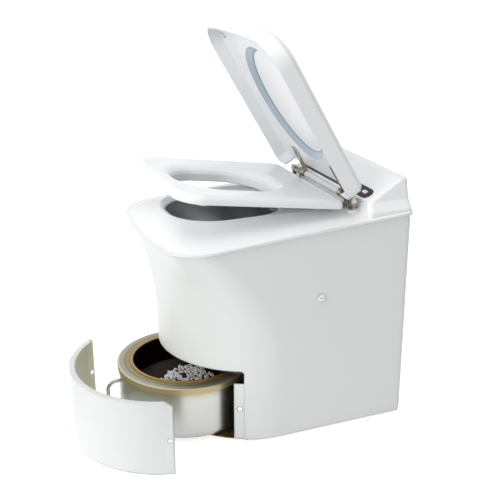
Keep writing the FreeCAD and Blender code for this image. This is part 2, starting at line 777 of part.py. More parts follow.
def back_panel_screws():
    screws = []
    edge = s.window_margin - s.panel_overlap / 2
    columns = ((-1, "left"), (1, "right"))
    rows = ((0, "low"), (1, "middle"), (2, "high"))
    rise = (s.seam_height - s.ground_gap - edge * 2) / 2
    for side, side_name in columns:
        for row, row_name in rows:
            at = ((half_width - edge) * side, s.rear_face + s.panel_sheet, s.ground_gap + edge + rise * row)
            name = f"{side_name}_{row_name}_screw"
            screws.append(rod(name, s.screw_head_radius, s.screw_head_height, at, "y"))
    return keep(group("back_panel_screws", screws))


def cable_gland():
    """Gland in the back panel for the supply lead."""
    outside = s.gland_radius
    neck = outside * GLAND_NECK - s.slide_gap
    length = outside * GLAND_LENGTH
    points = [
        (s.gland_bore, -outside),
        (neck, -outside),
        (neck, s.panel_sheet),
        (outside, s.panel_sheet),
        (outside, s.panel_sheet + length / 2),
        (outside * GLAND_TIP, length),
        (s.gland_bore, length),
    ]
    turn = Rotation(Vector(1, 0, 0), -90)
    return keep(turned("cable_gland", points, (-s.gland_side, s.rear_face, s.gland_height), turn))


# Top cover and control panel

# How far the console's hollow keeps off the knee and the slope, as shares of its wall
INNER_KNEE_DROP = 0.75
INNER_SLOPE_RUN = 2.4
# The slit behind the control panel, as shares of the panel's width and height
SLIT_WIDTH = 0.95
SLIT_HEIGHT = 0.6
# The deck's dished opening: share of the deck's thickness, share of the dish
DECK_DISH = ((0, 0), (0.45, 0.22), (0.8, 0.6), (1.0, 1.0))


def console_sections(inset):
    """Height, front edge and half width of the console at the seam, the deck, the knee and the top."""
    rear = s.rear_face.number
    low = seam_at(rear - s.console_base_depth.number)
    foot = deck_height.number
    knee = foot + s.console_knee_rise.number
    top = foot + s.console_rise.number
    foot_front = rear - s.console_base_depth.number
    knee_front = rear - s.console_knee_depth.number
    top_front = rear - s.console_top_depth.number
    half = half_width.number - s.console_setback.number
    knee_half = half - s.console_knee_taper.number
    top_half = half - s.console_taper.number
    if inset == 0:
        return [
            (low, foot_front, half),
            (foot, foot_front, half),
            (knee, knee_front, knee_half),
            (top, top_front, top_half),
        ]
    slope = (top_front - knee_front) / (top - knee)
    inner_top = top - 2 * inset
    inner_front = knee_front + (inner_top - knee) * slope + INNER_SLOPE_RUN * inset
    return [
        (low, foot_front + inset, half - inset),
        (foot, foot_front + inset, half - inset),
        (knee - INNER_KNEE_DROP * inset, knee_front + inset, knee_half - inset),
        (inner_top, min(inner_front, rear - s.console_setback.number - 2 * inset), top_half - inset),
    ]


def console_solid(inset):
    """The console's outer form, flush with the lip behind, or its hollow when an inset is given."""
    rear = s.rear_face.number + s.lip_reach.number
    if inset > 0:
        rear = s.rear_face.number - s.cabinet_sheet.number - inset
    outlines = []
    for z, front, half in console_sections(inset):
        radius = s.console_round.number
        outlines.append(rounded_outline(half, (rear - front) / 2, radius, (rear + front) / 2, z))
    return solid_loft(outlines, ruled=True)


def fascia_frame():
    """Placement in the console's sloping front, at the middle of the control panel."""
    knee = console_sections(0)[2]
    top = console_sections(0)[3]
    slope = math.atan2(top[0] - knee[0], top[1] - knee[1])
    rise = s.fascia_rise.number
    middle = Vector(0, knee[1] + rise * math.cos(slope), knee[0] + rise * math.sin(slope))
    return Placement(middle, Rotation(Vector(1, 0, 0), math.degrees(slope)))


def slot_outline(length, width, x, z):
    """Outline with half-round ends along X, about a point, at height z."""
    half = (length - width) / 2
    radius = width / 2

    def at(along, across):
        return Vector(x + along, across, z)

    edges = [
        Part.LineSegment(at(-half, radius), at(half, radius)),
        Part.Arc(at(half, radius), at(half + radius, 0), at(half, -radius)),
        Part.LineSegment(at(half, -radius), at(-half, -radius)),
        Part.Arc(at(-half, -radius), at(-half - radius, 0), at(-half, radius)),
    ]
    return Part.Wire([edge.toShape() for edge in edges])


# Bow of the deck's crest ahead of the opening
CREST_BOW = 6
# Fall of the roof under the deck, as a share of the seam's
HOLLOW_FALL = 0.3


def crest_outline(inset, z):
    """The deck's level crest round the opening, moved inwards by an inset, at height z."""
    grow = s.opening_dish.number + s.crest_width.number - inset
    return bowed_outline(
        s.opening_width.number / 2 + grow,
        s.rear_face.number - s.console_setback.number - inset,
        bowl_y.number - s.opening_length.number / 2 - grow,
        s.opening_radius.number + grow,
        CREST_BOW,
        s.rear_corner_radius.number,
        z,
    )


def deck_solid():
    """The deck's outer form: it falls from the crest to the lip on every side."""
    foot = cabinet_outline(front_seam.number, s.deck_setback.number, 0)
    foot = tilted(foot, seam_slope(), s.seam_height.number + s.lip_height.number)
    return solid_loft([foot, crest_outline(0, deck_height.number)], ruled=True)


def deck_hollow():
    """Room under the deck, round the thicker collar that the bowl's gasket lies against."""
    wall = s.console_wall.number
    foot = cabinet_outline(front_seam.number, s.cabinet_sheet.number + wall, 0)
    foot = tilted(foot, seam_slope(), s.seam_height.number)
    roof = tilted(crest_outline(wall, 0), HOLLOW_FALL * seam_slope(), deck_height.number - wall)
    thick = s.deck_thickness.number
    collar = prism(flange_outline(wall, deck_under.number), thick)
    flange_room = prism(flange_outline(s.slide_gap.number, deck_under.number - thick), thick)
    half_x, wall_y = frame_halves()
    clear = s.slide_gap.number
    wall_room = limits_box(
        (-half_x - clear, half_x + clear),
        (bowl_y.number - wall_y - clear, bowl_y.number + wall_y + clear),
        (deck_under.number - thick * 2, frame_top.number + clear),
    )
    return solid_loft([foot, roof], ruled=True).cut(collar).fuse(flange_room).fuse(wall_room)


def flange_outline(grow, z):
    """Outline of the bowl frame's flange, widened by an amount, at height z."""
    margin = FLANGE_MARGIN * s.jaw_boss.number + grow
    return rounded_outline(
        s.opening_width.number / 2 + margin,
        s.opening_length.number / 2 + margin,
        s.opening_radius.number + margin,
        bowl_y.number,
        z,
    )


def hinge_pads():
    """Level bosses on the deck's slope that the hinge posts stand on."""
    pads = []
    radius = s.post_radius.number + s.crest_width.number
    depth = s.deck_rise.number
    middle = (post_x + post_eye / 2).number
    for x in (-middle, middle):
        pads.append(Part.makeCylinder(radius, depth, Vector(x, hinge_y.number, deck_height.number - depth)))
    return pads


def top_cover():
    """Moulded cover: overhanging lip, crested deck with a dished opening, and hollow rear console."""
    lip_line = cabinet_outline(front_seam.number, -s.lip_reach.number, 0)
    lip_line = tilted(lip_line, seam_slope(), s.seam_height.number)
    cover = prism(lip_line, s.lip_height.number).fuse(deck_solid())
    cover = cover.fuse(console_solid(0).cut(beyond_seam(-1)))
    cover = cover.cut(deck_hollow()).cut(console_solid(s.console_wall.number))
    for pad in hinge_pads():
        cover = cover.fuse(pad)
    cover = cover.cut(deck_opening())
    high = s.fascia_height.number * SLIT_HEIGHT
    wide = s.fascia_width.number * SLIT_WIDTH
    through = s.console_wall.number * 6
    slit = Part.makeBox(wide, high, through, Vector(-wide / 2, -high / 2, -through / 2))
    slit.Placement = fascia_frame()
    return keep(shaped("top_cover", cover.cut(slit).removeSplitter()))


def deck_opening():
    """Dished opening: a round-cornered hole that widens up to the deck's surface."""
    low = deck_under.number
    high = deck_height.number
    dish = s.opening_dish.number
    outlines = []
    for rise, share in DECK_DISH:
        grow = dish * share
        outlines.append(
            rounded_outline(
                s.opening_width.number / 2 + grow,
                s.opening_length.number / 2 + grow,
                s.opening_radius.number + grow,
                bowl_y.number,
                low + rise * (high - low),
            )
        )
    top = outlines[-1].copy()
    top.translate(Vector(0, 0, high - low))
    below = outlines[0].copy()
    below.translate(Vector(0, 0, low - high))
    opening = solid_loft([below, outlines[0]], True)
    opening = opening.fuse(solid_loft(outlines, True))
    return opening.fuse(solid_loft([outlines[-1], top], True))


def control_panel():
    """Dark panel with half-round ends on the console's slope, with a button hole and a lens hole."""
    thick = s.fascia_thickness.number
    plate = prism(slot_outline(s.fascia_width.number, s.fascia_height.number, 0, 0), thick)
    clear = s.slide_gap.number
    length = s.button_length.number + 2 * clear
    width = s.button_width.number + 2 * clear
    hole = prism(slot_outline(length, width, s.button_offset.number, -thick), 3 * thick)
    lens = Part.makeCylinder(s.lens_radius.number, 3 * thick, Vector(s.lens_offset.number, 0, -thick))
    panel = shaped("control_panel", plate.cut(hole).cut(lens))
    panel.Placement = fascia_frame()
    return keep(panel)


# Round of the button's edge as a share of how far it stands proud, and the lens against the panel
BUTTON_ROUND = 0.5
LENS_DEPTH = 1.25


def start_button():
    depth = s.fascia_thickness.number + s.button_proud.number + s.button_travel.number
    low = -s.button_travel.number
    outline = slot_outline(s.button_length.number, s.button_width.number, s.button_offset.number, low)
    cap = prism(outline, depth)
    top = [edge for edge in cap.Edges if abs(edge.BoundBox.ZMin - (low + depth)) < TOUCH]
    button = shaped("start_button", cap.makeFillet(s.button_proud.number * BUTTON_ROUND, top))
    button.Placement = fascia_frame()
    return keep(button)


def indicator_lens():
    depth = s.fascia_thickness.number * LENS_DEPTH
    window = Part.makeCylinder(s.lens_radius.number, depth, Vector(s.lens_offset.number, 0, 0))
    lens = shaped("indicator_lens", window)
    lens.Placement = fascia_frame()
    return keep(lens)


# The board behind the panel: shares of the panel's width, height and thickness,
# of the button's width for the switch, and of the board's width for its posts
BOARD_WIDTH = 0.9
BOARD_HEIGHT = 0.5
BOARD_THICKNESS = 0.8
SWITCH_HALF = 0.3
POST_PLACE = 0.2


def panel_board():
    """Circuit board behind the control panel, with the button's switch on it."""
    wide = s.fascia_width.number * BOARD_WIDTH
    deep = s.fascia_height.number * BOARD_HEIGHT
    below = -s.button_travel.number * 2 - s.slide_gap.number
    stem_half = s.button_width.number * SWITCH_HALF
    board_thick = s.fascia_thickness.number * BOARD_THICKNESS
    switch_high = s.button_travel.number
    board_top = below - switch_high
    board = Part.makeBox(wide, deep, board_thick, Vector(-wide / 2, -deep / 2, board_top - board_thick))
    switch_corner = Vector(s.button_offset.number - stem_half, -stem_half, board_top)
    switch = Part.makeBox(2 * stem_half, 2 * stem_half, switch_high, switch_corner)
    posts = []
    for side in (-1, 1):
        at = Vector(side * wide * POST_PLACE, 0, board_top)
        posts.append(Part.makeCylinder(stem_half, switch_high - below, at))
    piece = board.fuse(switch)
    for post in posts:
        piece = piece.fuse(post)
    panel = shaped("panel_board", piece.removeSplitter())
    panel.Placement = fascia_frame()
    return keep(panel)


# Bowl, jaws and chute

# The bowl frame's flange and the pivot brackets, as shares of the pivot boss's radius
FLANGE_MARGIN = 1.5
BRACKET_HALF = 1.5
# How far a jaw's sector laps the bowl frame's curved wall, and the wall's spare above the open jaw, in degrees
WALL_LAP = 5
SWING_SPARE = 3
# The gear motor's case, can and boss, as shares of its length and radius
CASE_LENGTH = 0.4
CAN_LENGTH = 0.92
CAN_RADIUS = 0.8
BOSS_RADIUS = 0.3

bracket_inner = s.jaw_half_length + s.jaw_sheet * 2 + s.jaw_gap * 2


def frame_halves():
    """Half the outside width and length of the bowl frame's walls."""
    return (s.jaw_half_length - s.jaw_sheet * 2).number, (s.jaw_radius - s.slide_gap * 2).number


def bowl_frame():
    """Stainless frame under the deck: flange, side walls, and end walls round about the jaws' axis.

    The end walls stay round as high as the jaws' edges swing, and go straight up from there."""
    sheet_thick = s.jaw_sheet.number
    half_x, wall_y = frame_halves()
    top = frame_top.number
    axis = jaw_z.number
    y = bowl_y.number
    swing = s.jaw_rest_angle.number + s.jaw_sector.number + s.jaw_travel.number + SWING_SPARE
    neck_y = wall_y * math.sin(math.radians(swing))
    shoulder = axis - wall_y * math.cos(math.radians(swing))
    outer = limits_box((-half_x, half_x), (y - neck_y, y + neck_y), (shoulder, top))
    inner_x = half_x - sheet_thick
    inner_y = wall_y - sheet_thick
    shaft_y = neck_y - sheet_thick
    along = Vector(1, 0, 0)
    barrel = Part.makeCylinder(wall_y, 2 * half_x, Vector(-half_x, y, axis), along)
    hollow = Part.makeCylinder(inner_y, 2 * inner_x, Vector(-inner_x, y, axis), along)
    shaft = limits_box((-inner_x, inner_x), (y - shaft_y, y + shaft_y), (axis, top + sheet_thick))
    hollow = hollow.fuse(shaft)
    keep_above = axis - wall_y * math.cos(math.radians(s.jaw_sector.number - WALL_LAP))
    lower = barrel.common(limits_box((-half_x, half_x), (y - wall_y, y + wall_y), (keep_above, shoulder)))
    plate = prism(flange_outline(0, top - sheet_thick), sheet_thick)
    frame = outer.fuse(lower).fuse(plate).cut(hollow)
    return keep(shaped("bowl_frame", frame.removeSplitter()))


def jaw(name, half_inside, side):
    """One half of the bowl's round floor, with end cheeks and pivot bosses, opened by its rest angle."""
    thick = s.jaw_sheet.number
    radius = s.jaw_radius.number
    half_out = half_inside + thick
    along = Vector(1, 0, 0)
    seam = math.degrees(s.slide_gap.number / radius)
    first = -90 + side * (s.jaw_rest_angle.number + seam)
    last = -90 + side * (s.jaw_rest_angle.number + s.jaw_sector.number)
    drum = Part.makeCylinder(radius + thick, 2 * half_out, Vector(-half_out, 0, 0), along)
    hollow = Part.makeCylinder(radius, 2 * half_inside, Vector(-half_inside, 0, 0), along)
    piece = drum.cut(hollow).common(wedge(first, last, 2 * radius, half_out))
    for end in (-half_out, half_inside):
        piece = piece.fuse(Part.makeCylinder(s.jaw_boss.number, thick, Vector(end, 0, 0), along))
    bore_radius = s.pivot_radius.number + s.running_gap.number
    bore = Part.makeCylinder(bore_radius, 2 * half_out, Vector(-half_out, 0, 0), along)
    feature = shaped(name, piece.cut(bore).removeSplitter())
    place(feature, 0, bowl_y, jaw_z)
    return keep(feature)


def wedge(first, last, reach, half_length):
    """Wedge about the X axis between two angles, measured from the rear towards the top."""
    corners = [Vector(-half_length, 0, 0)]
    for angle in (first, (first + last) / 2, last):
        turn = math.radians(angle)
        corners.append(Vector(-half_length, reach * math.cos(turn), reach * math.sin(turn)))
    corners.append(corners[0])
    face = Part.Face(Part.makePolygon(corners))
    return face.extrude(Vector(2 * half_length, 0, 0))


def jaw_brackets():
    """Plates that hang from the bowl frame's flange and carry the pivot pins."""
    plates = []
    half = s.jaw_boss * BRACKET_HALF
    for label, side in (("left", -1), ("right", 1)):
        near = bracket_inner * side
        far = (bracket_inner + s.bracket_sheet) * side
        across = (near, far) if side > 0 else (far, near)
        plates.append(
            block(
                f"{label}_jaw_bracket",
                across,
                (bowl_y - half, bowl_y + half),
                (jaw_z - half, frame_top - s.jaw_sheet),
            )
        )
    return keep(group("jaw_brackets", plates))


def jaw_pivots():
    pins = []
    start = s.jaw_half_length - s.slide_gap
    length = bracket_inner - start
    for label, side in (("left", -1), ("right", 1)):
        x = start if side > 0 else -bracket_inner
        pins.append(rod(f"{label}_jaw_pivot", s.pivot_radius, length, (x, bowl_y, jaw_z), "x"))
    return keep(group("jaw_pivots", pins))


def jaw_gear_motor():
    """Gear motor on the right bracket: gear case, motor can and rear boss."""
    start = bracket_inner + s.bracket_sheet
    case = s.motor_length * CASE_LENGTH
    can_end = s.motor_length * CAN_LENGTH
    points = [
        (0, 0),
        (s.motor_radius, 0),
        (s.motor_radius, case),
        (s.motor_radius * CAN_RADIUS, case),
        (s.motor_radius * CAN_RADIUS, can_end),
        (s.motor_radius * BOSS_RADIUS, can_end),
        (s.motor_radius * BOSS_RADIUS, s.motor_length),
        (0, s.motor_length),
    ]
    return keep(turned("jaw_gear_motor", points, (start, bowl_y, jaw_z), ALONG["x"]))


def chute():
    """Slanting funnel from under the jaws to the chamber's top plate."""
    thick = s.chamber_sheet.number
    low = chamber_top.number
    high = low + s.chute_height.number
    throat_y = (pan_y.number + bowl_y.number) / 2
    outer = [
        ring_wire(s.chute_throat.number, throat_y, low),
        ring_wire(s.chute_mouth.number, bowl_y.number, high),
    ]
    inner = [
        ring_wire(s.chute_throat.number - thick, throat_y, low),
        ring_wire(s.chute_mouth.number - thick, bowl_y.number, high),
    ]
    return keep(shaped("chute", solid_loft(outer).cut(solid_loft(inner))))


def ring_wire(radius, y, z):
    return Part.Wire([Part.Circle(Vector(0, y, z), Vector(0, 0, 1), radius).toShape()])


# Combustion chamber

# The probe against the element's rod, and the exhaust bore against the chamber's height
PROBE_SHARE = 0.75
EXHAUST_SHARE = 0.36
# The element's drop below the top plate and the gap between its ends, in rod radii
ELEMENT_DROP = 5
ELEMENT_GAP = 8


def chamber_plate():
    """Plate over the pan that the chamber stands on."""
    reach = pan_radius + s.leg_gap + s.leg_width
    room = s.leg_spread / 2 + s.leg_width
    along = (pan_y - room, pan_y + room)
    plate = block("chamber_plate_blank", (-reach, reach), along, (plate_bottom, plate_top))
    disc = rod("chamber_plate_disc", pan_radius, s.chamber_sheet, (0, pan_y, plate_bottom))
    under = (0, pan_y, plate_bottom - s.chamber_sheet)
    hole = rod("chamber_plate_hole", pan_radius - s.pan_rim_width, s.chamber_sheet * 3, under)
    return keep(cut("chamber_plate", fuse("chamber_plate_whole", plate, disc), hole))


def chamber_legs():
    """Four square posts beside the pan's path, from the base plate up to the chamber plate."""
    legs = []
    for side in (-1, 1):
        near = (pan_radius + s.leg_gap) * side
        far = (pan_radius + s.leg_gap + s.leg_width) * side
        across = (near, far) if side > 0 else (far, near)
        for end in (-1, 1):
            y = pan_y + s.leg_spread / 2 * end
            along = (y - s.leg_width / 2, y + s.leg_width / 2)
            name = f"leg_{'right' if side > 0 else 'left'}_{'rear' if end > 0 else 'front'}"
            legs.append(block(name, across, along, (base_top, plate_bottom)))
    return keep(group("chamber_legs", legs))


def chamber_ring(name, outer, inner):
    """A round wall of the chamber between the plate and the top, with the exhaust hole at the rear."""
    height = chamber_wall_top - plate_top
    solid = rod(name + "_outer", outer, height, (0, pan_y, plate_top))
    hollow = rod(name + "_inner", inner, height * 3, (0, pan_y, plate_top - height))
    outlet = rod(name + "_outlet", exhaust_bore, pan_radius * 2, (0, pan_y, exhaust_z), "y")
    probe = rod(name + "_probe_hole", probe_radius, pan_radius * 2, (0, pan_y, exhaust_z), "x")
    return keep(cut(name, solid, hollow, outlet, probe))


exhaust_bore = (chamber_wall_top - plate_top) * EXHAUST_SHARE
probe_radius = s.element_rod * PROBE_SHARE
liner_outer = pan_radius - s.pan_rim_width + s.chamber_sheet


def chamber_top_plate():
    plate = rod("chamber_top_disc", pan_radius, s.chamber_sheet, (0, pan_y, chamber_wall_top))
    throat_y = (pan_y + bowl_y) / 2
    under = (0, throat_y, chamber_wall_top - s.chamber_sheet)
    hole = rod("chamber_top_hole", s.chute_throat - s.chamber_sheet, s.chamber_sheet * 3, under)
    return keep(cut("chamber_top_plate", plate, hole))


def heating_element():
    """Bent element rod in a loop under the top plate, with its ends up against the plate."""
    radius = s.element_turn_radius.number
    rod_radius = s.element_rod.number
    high = chamber_wall_top.number
    level = high - ELEMENT_DROP * rod_radius
    y = pan_y.number
    angle = math.asin(ELEMENT_GAP * rod_radius / radius)
    first = Vector(-radius * math.sin(angle), y + radius * math.cos(angle), level)
    last = Vector(radius * math.sin(angle), y + radius * math.cos(angle), level)
    ring = Part.Arc(first, Vector(0, y - radius, level), last).toShape()
    heading = Vector(-math.cos(angle), -math.sin(angle), 0)
    section = Part.Wire([Part.Circle(first, heading, rod_radius).toShape()])
    piece = sweep([ring], section)
    for end in (first, last):
        post = Part.makeCylinder(rod_radius, high - level, end)
        piece = piece.fuse(post).fuse(Part.makeSphere(rod_radius, end))
    return keep(shaped("heating_element", piece.removeSplitter()))


def thermocouple():
    """Probe through the chamber's side wall."""
    length = pan_radius - s.chute_throat
    x = pan_radius - length + s.leg_gap * 2
    return keep(rod("thermocouple", probe_radius, length, (x, pan_y, exhaust_z), "x"))


# Exhaust

# The catalyst's neck in pan bands, and the impeller's clearance in sliding gaps
NECK_BANDS = 5
FAN_GAPS = 10


def exhaust_ring(name, points, y):
    return keep(turned(name, points, (0, y, exhaust_z), Rotation(Vector(1, 0, 0), -90)))


catalyst_outer = exhaust_bore + s.exhaust_wall * 4
catalyst_start = chamber_back + s.slide_gap
fan_start = catalyst_start + s.catalyst_length
spigot_start = s.rear_face - s.exhaust_flange * 3
fan_gap = s.slide_gap * FAN_GAPS


def catalyst_can():
    outer = catalyst_outer
    inner = catalyst_outer - s.exhaust_wall
    neck = exhaust_bore - s.exhaust_wall
    neck_reach = s.pan_band * NECK_BANDS
    points = [
        (neck, -neck_reach),
        (exhaust_bore, -neck_reach),
        (exhaust_bore, 0),
        (outer, 0),
        (outer, s.catalyst_length),
        (neck, s.catalyst_length),
        (neck, s.catalyst_length - s.exhaust_wall),
        (inner, s.catalyst_length - s.exhaust_wall),
        (inner, s.exhaust_wall),
        (neck, s.exhaust_wall),
    ]
    return exhaust_ring("catalyst_can", points, catalyst_start)


# Rings of channels in the honeycomb, the channels in its first ring, and shares of its radius
HONEYCOMB_RINGS = 2
FIRST_RING_COUNT = 6
CHANNEL_RADIUS = 0.12
RING_PITCH = 0.36


def catalyst_core():
    """Round honeycomb block with rings of channels along the gas flow."""
    length = s.catalyst_length.number - 2 * s.exhaust_wall.number
    radius = catalyst_outer.number - s.exhaust_wall.number
    y = catalyst_start.number + s.exhaust_wall.number
    middle = Vector(0, y, exhaust_z.number)
    along = Vector(0, 1, 0)
    core = Part.makeCylinder(radius, length, middle, along)
    channels = [Part.makeCylinder(radius * CHANNEL_RADIUS, length, middle, along)]
    for ring in range(1, HONEYCOMB_RINGS + 1):
        count = FIRST_RING_COUNT * ring
        reach = radius * RING_PITCH * ring
        for index in range(count):
            angle = 2 * math.pi * index / count
            at = middle + Vector(reach * math.cos(angle), 0, reach * math.sin(angle))
            channels.append(Part.makeCylinder(radius * CHANNEL_RADIUS, length, at, along))
    return keep(shaped("catalyst_core", core.cut(Part.makeCompound(channels))))


# How far the motor's arms run into the housing's wall
ARM_LAP = 1


def fan_housing():
    """Round housing between the catalyst and the spigot, with arms that carry the motor."""
    length = (spigot_start - fan_start).number
    outer = s.exhaust_radius.number
    wall = s.exhaust_wall.number
    inner = outer - wall
    y = fan_start.number
    along = Vector(0, 1, 0)
    z = exhaust_z.number
    start = Vector(0, y, z)
    ring = Part.makeCylinder(outer, length, start, along)
    ring = ring.cut(Part.makeCylinder(inner, length, start, along))
    face = Part.makeCylinder(outer, wall, start, along)
    face = face.cut(Part.makeCylinder(exhaust_bore.number - wall, wall, start, along))
    housing = ring.fuse(face)
    arm = 2 * wall
    reach = inner + ARM_LAP
    motor = s.fan_motor_radius.number
    rear = y + length - arm
    cross = limits_box((-reach, reach), (rear, rear + arm), (z - arm, z + arm))
    cross = cross.fuse(limits_box((-arm, arm), (rear, rear + arm), (z - reach, z + reach)))
    cross = cross.common(Part.makeCylinder(outer, length, start, along))
    collar = Part.makeCylinder(motor + arm, arm, Vector(0, rear, z), along)
    cross = cross.fuse(collar).cut(Part.makeCylinder(motor, length, start, along))
    return keep(shaped("fan_housing", housing.fuse(cross).removeSplitter()))


impeller_y = fan_start + s.exhaust_wall + fan_gap


def fan_motor():
    """Motor in the housing's collar, with the shaft towards the impeller."""
    end = spigot_start - fan_start - s.exhaust_wall - fan_gap
    shaft = s.impeller_width + fan_gap
    points = [
        (0, 0),
        (s.fan_shaft_radius, 0),
        (s.fan_shaft_radius, shaft),
        (s.fan_motor_radius, shaft),
        (s.fan_motor_radius, end),
        (0, end),
    ]
    return exhaust_ring("fan_motor", points, impeller_y)


# Impeller: blades, their slant in degrees, and shares of its width, the motor and the housing's wall
BLADE_COUNT = 9
BLADE_SLANT = 35
BLADE_WIDTH = 0.7
BLADE_THICKNESS = 0.8
HUB_SHARE = 0.8


def fan_impeller():
    """Hub with bent blades that runs on the motor's shaft."""
    width = s.impeller_width.number
    hub = s.fan_motor_radius.number * HUB_SHARE
    radius = s.impeller_radius.number
    along = Vector(0, 1, 0)
    at = Vector(0, impeller_y.number, exhaust_z.number)
    piece = Part.makeCylinder(hub, width, at, along)
    thick = s.exhaust_wall.number * BLADE_THICKNESS
    wide = width * BLADE_WIDTH
    corner = Vector(-thick / 2, (width - wide) / 2, hub - thick)
    for index in range(BLADE_COUNT):
        blade = Part.makeBox(thick, wide, radius - hub + thick, corner)
        blade.rotate(Vector(0, width / 2, 0), Vector(0, 0, 1), BLADE_SLANT)
        blade.rotate(Vector(), along, 360.0 * index / BLADE_COUNT)
        blade.translate(at)
        piece = piece.fuse(blade)
    piece = piece.common(Part.makeCylinder(radius, width, at, along))
    bore = Part.makeCylinder(s.fan_shaft_radius.number + s.running_gap.number, width, at, along)
    return keep(shaped("fan_impeller", piece.cut(bore).removeSplitter()))


def exhaust_spigot():
    """Outlet tube through the back panel, with a flange outside it."""
    outer = s.exhaust_radius
    inner = s.exhaust_radius - s.exhaust_wall
    inside = s.rear_face - spigot_start
    flange = inside + s.panel_sheet
    points = [
        (inner, 0),
        (outer, 0),
        (outer, flange),
        (outer + s.exhaust_flange, flange),
        (outer + s.exhaust_flange, flange + s.exhaust_wall),
        (outer, flange + s.exhaust_wall),
        (outer, inside + s.exhaust_reach),
        (inner, inside + s.exhaust_reach),
    ]
    return exhaust_ring("exhaust_spigot", points, spigot_start)


# Electronics

# Shares of the box's width, length and height that its contents take up
BOARD_SIDE = 0.42
TRANSFORMER_SIDE = 0.58
TRANSFORMER_LENGTH = 0.45
TRANSFORMER_HEIGHT = 0.34
TERMINAL_LENGTH = 0.18
TERMINAL_HEIGHT = 0.16
# A board post against a screw head, and the wall margin round the contents in wall thicknesses
POST_SHARE = 0.7
BOX_MARGIN = 4

box_left = -half_width + s.cabinet_sheet
box_right = box_left + s.box_width
box_back = s.rear_face - s.rear_corner_radius - s.cabinet_sheet
box_front = box_back - s.box_length
box_floor = box_bottom + s.box_sheet
box_margin = s.box_sheet * BOX_MARGIN
transformer_left = box_left + s.box_width * TRANSFORMER_SIDE


def electronics_box():
    """Open-topped box on the cabinet's left wall."""
    wall = s.box_sheet
    outer = block(
        "box_outer",
        (box_left, box_right),
        (box_front, box_back),
        (box_bottom, box_bottom + s.box_height),
    )
    inner = block(
        "box_inner",
        (box_left + wall, box_right - wall),
        (box_front + wall, box_back - wall),
        (box_floor, box_bottom + s.box_height * 2),
    )
    return keep(cut("electronics_box", outer, inner))


def circuit_board():
    """Board on four posts on the box's floor, with a row of parts."""
    left = box_left + box_margin
    right = left + s.box_width * BOARD_SIDE
    front = box_front + box_margin
    back = box_back - box_margin
    post = s.screw_head_radius * POST_SHARE
    rise = s.screw_head_height * 3
    board_low = box_floor + rise
    board_high = board_low + s.box_sheet
    pieces = [block("board_plate", (left, right), (front, back), (board_low, board_high))]
    for x_name, x in (("left", left + post * 2), ("right", right - post * 2)):
        for y_name, y in (("front", front + post * 2), ("back", back - post * 2)):
            pieces.append(rod(f"board_post_{x_name}_{y_name}", post, rise, (x, y, box_floor)))
    across = (left + post * 4, right - post * 4)
    relay = (front + post * 5, front + post * 10)
    capacitors = (back - post * 12, back - post * 7)
    pieces.append(block("board_relay", across, relay, (board_high, board_high + rise * 2)))
    pieces.append(block("board_capacitor_bank", across, capacitors, (board_high, board_high + rise * 3)))
    return keep(fuse("circuit_board", *pieces))


def transformer():
    """Laminated core with a winding, on the box's floor."""
    right = box_right - box_margin
    back = box_back - box_margin
    front = back - s.box_length * TRANSFORMER_LENGTH
    high = box_floor + s.box_height * TRANSFORMER_HEIGHT
    core = block("transformer_core", (transformer_left, right), (front, back), (box_floor, high))
    middle = (transformer_left + right) / 2
    half = box_margin * 1.5
    winding = block(
        "transformer_winding",
        (middle - half, middle + half),
        (front - box_margin, back + box_margin / 2),
        (box_floor + box_margin, high - box_margin),
    )
    return keep(fuse("transformer", core, winding))


def terminal_block():
    front = box_front + box_margin
    terminals = block(
        "terminal_block",
        (transformer_left, box_right - box_margin),
        (front, front + s.box_length * TERMINAL_LENGTH),
        (box_floor, box_floor + s.box_height * TERMINAL_HEIGHT),
    )
    return keep(terminals)


# Ash pan, drawn in place and pulled out by its travel

# Chamfers of the pot's foot and the rim as shares of their rounds, and the inner pot's stand and the
# runners as shares of their pot's radius
CHAMFER_SHARE = 0.3
STAND_SHARE = 0.5
RUNNER_SHARE = 0.9
# The heap's slope: share of the inside radius, share of the crown
ASH_SLOPE = ((0.82, 0.3), (0.6, 0.72), (0.32, 0.94))

pan_out_y = pan_y - s.pan_travel
pot_radius = pan_radius - s.pan_band
liner_radius = pan_radius - s.pan_rim_width - s.slide_gap


def ash_pan():
    """Outer pot of spun stainless steel."""
    wall = s.pan_wall
    top = s.pan_height - s.pan_rim_height
    points = [
        (0, 0),
        (pot_radius - s.pan_round, 0),
        (pot_radius - s.pan_round * CHAMFER_SHARE, s.pan_round * CHAMFER_SHARE),
        (pot_radius, s.pan_round),
        (pot_radius, top),
        (pot_radius - wall, top),
        (pot_radius - wall, s.pan_round),
        (pot_radius - s.pan_round, wall),
        (0, wall),
    ]
    return keep(turned("ash_pan", points, (0, pan_out_y, pan_floor)))


def pan_rim():
    """Flat rim with an outer band and a raised inner lip."""
    inner = pan_radius - s.pan_rim_width
    top = s.pan_height
    under = s.pan_height - s.pan_rim_height
    skirt = under - s.pan_rim_skirt
    chamfer = s.pan_rim_height * CHAMFER_SHARE
    points = [
        (inner, under),
        (pot_radius, under),
        (pot_radius, skirt),
        (pan_radius, skirt),
        (pan_radius, top - chamfer),
        (pan_radius - chamfer, top),
        (inner + s.pan_lip, top),
        (inner + s.pan_lip, top + s.pan_lip),
        (inner, top + s.pan_lip),
    ]
    return keep(turned("pan_rim", points, (0, pan_out_y, pan_floor)))


def pan_insulation():
    """Ceramic wool ring between the two pots."""
    wall = s.pan_wall
    under = s.pan_height - s.pan_rim_height
    inner = liner_radius
    outer = pot_radius - wall - s.slide_gap
    points = [
        (inner + s.slide_gap, s.pan_round + wall),
        (outer, s.pan_round + wall),
        (outer, under),
        (inner + s.slide_gap, under),
    ]
    return keep(turned("pan_insulation", points, (0, pan_out_y, pan_floor)))


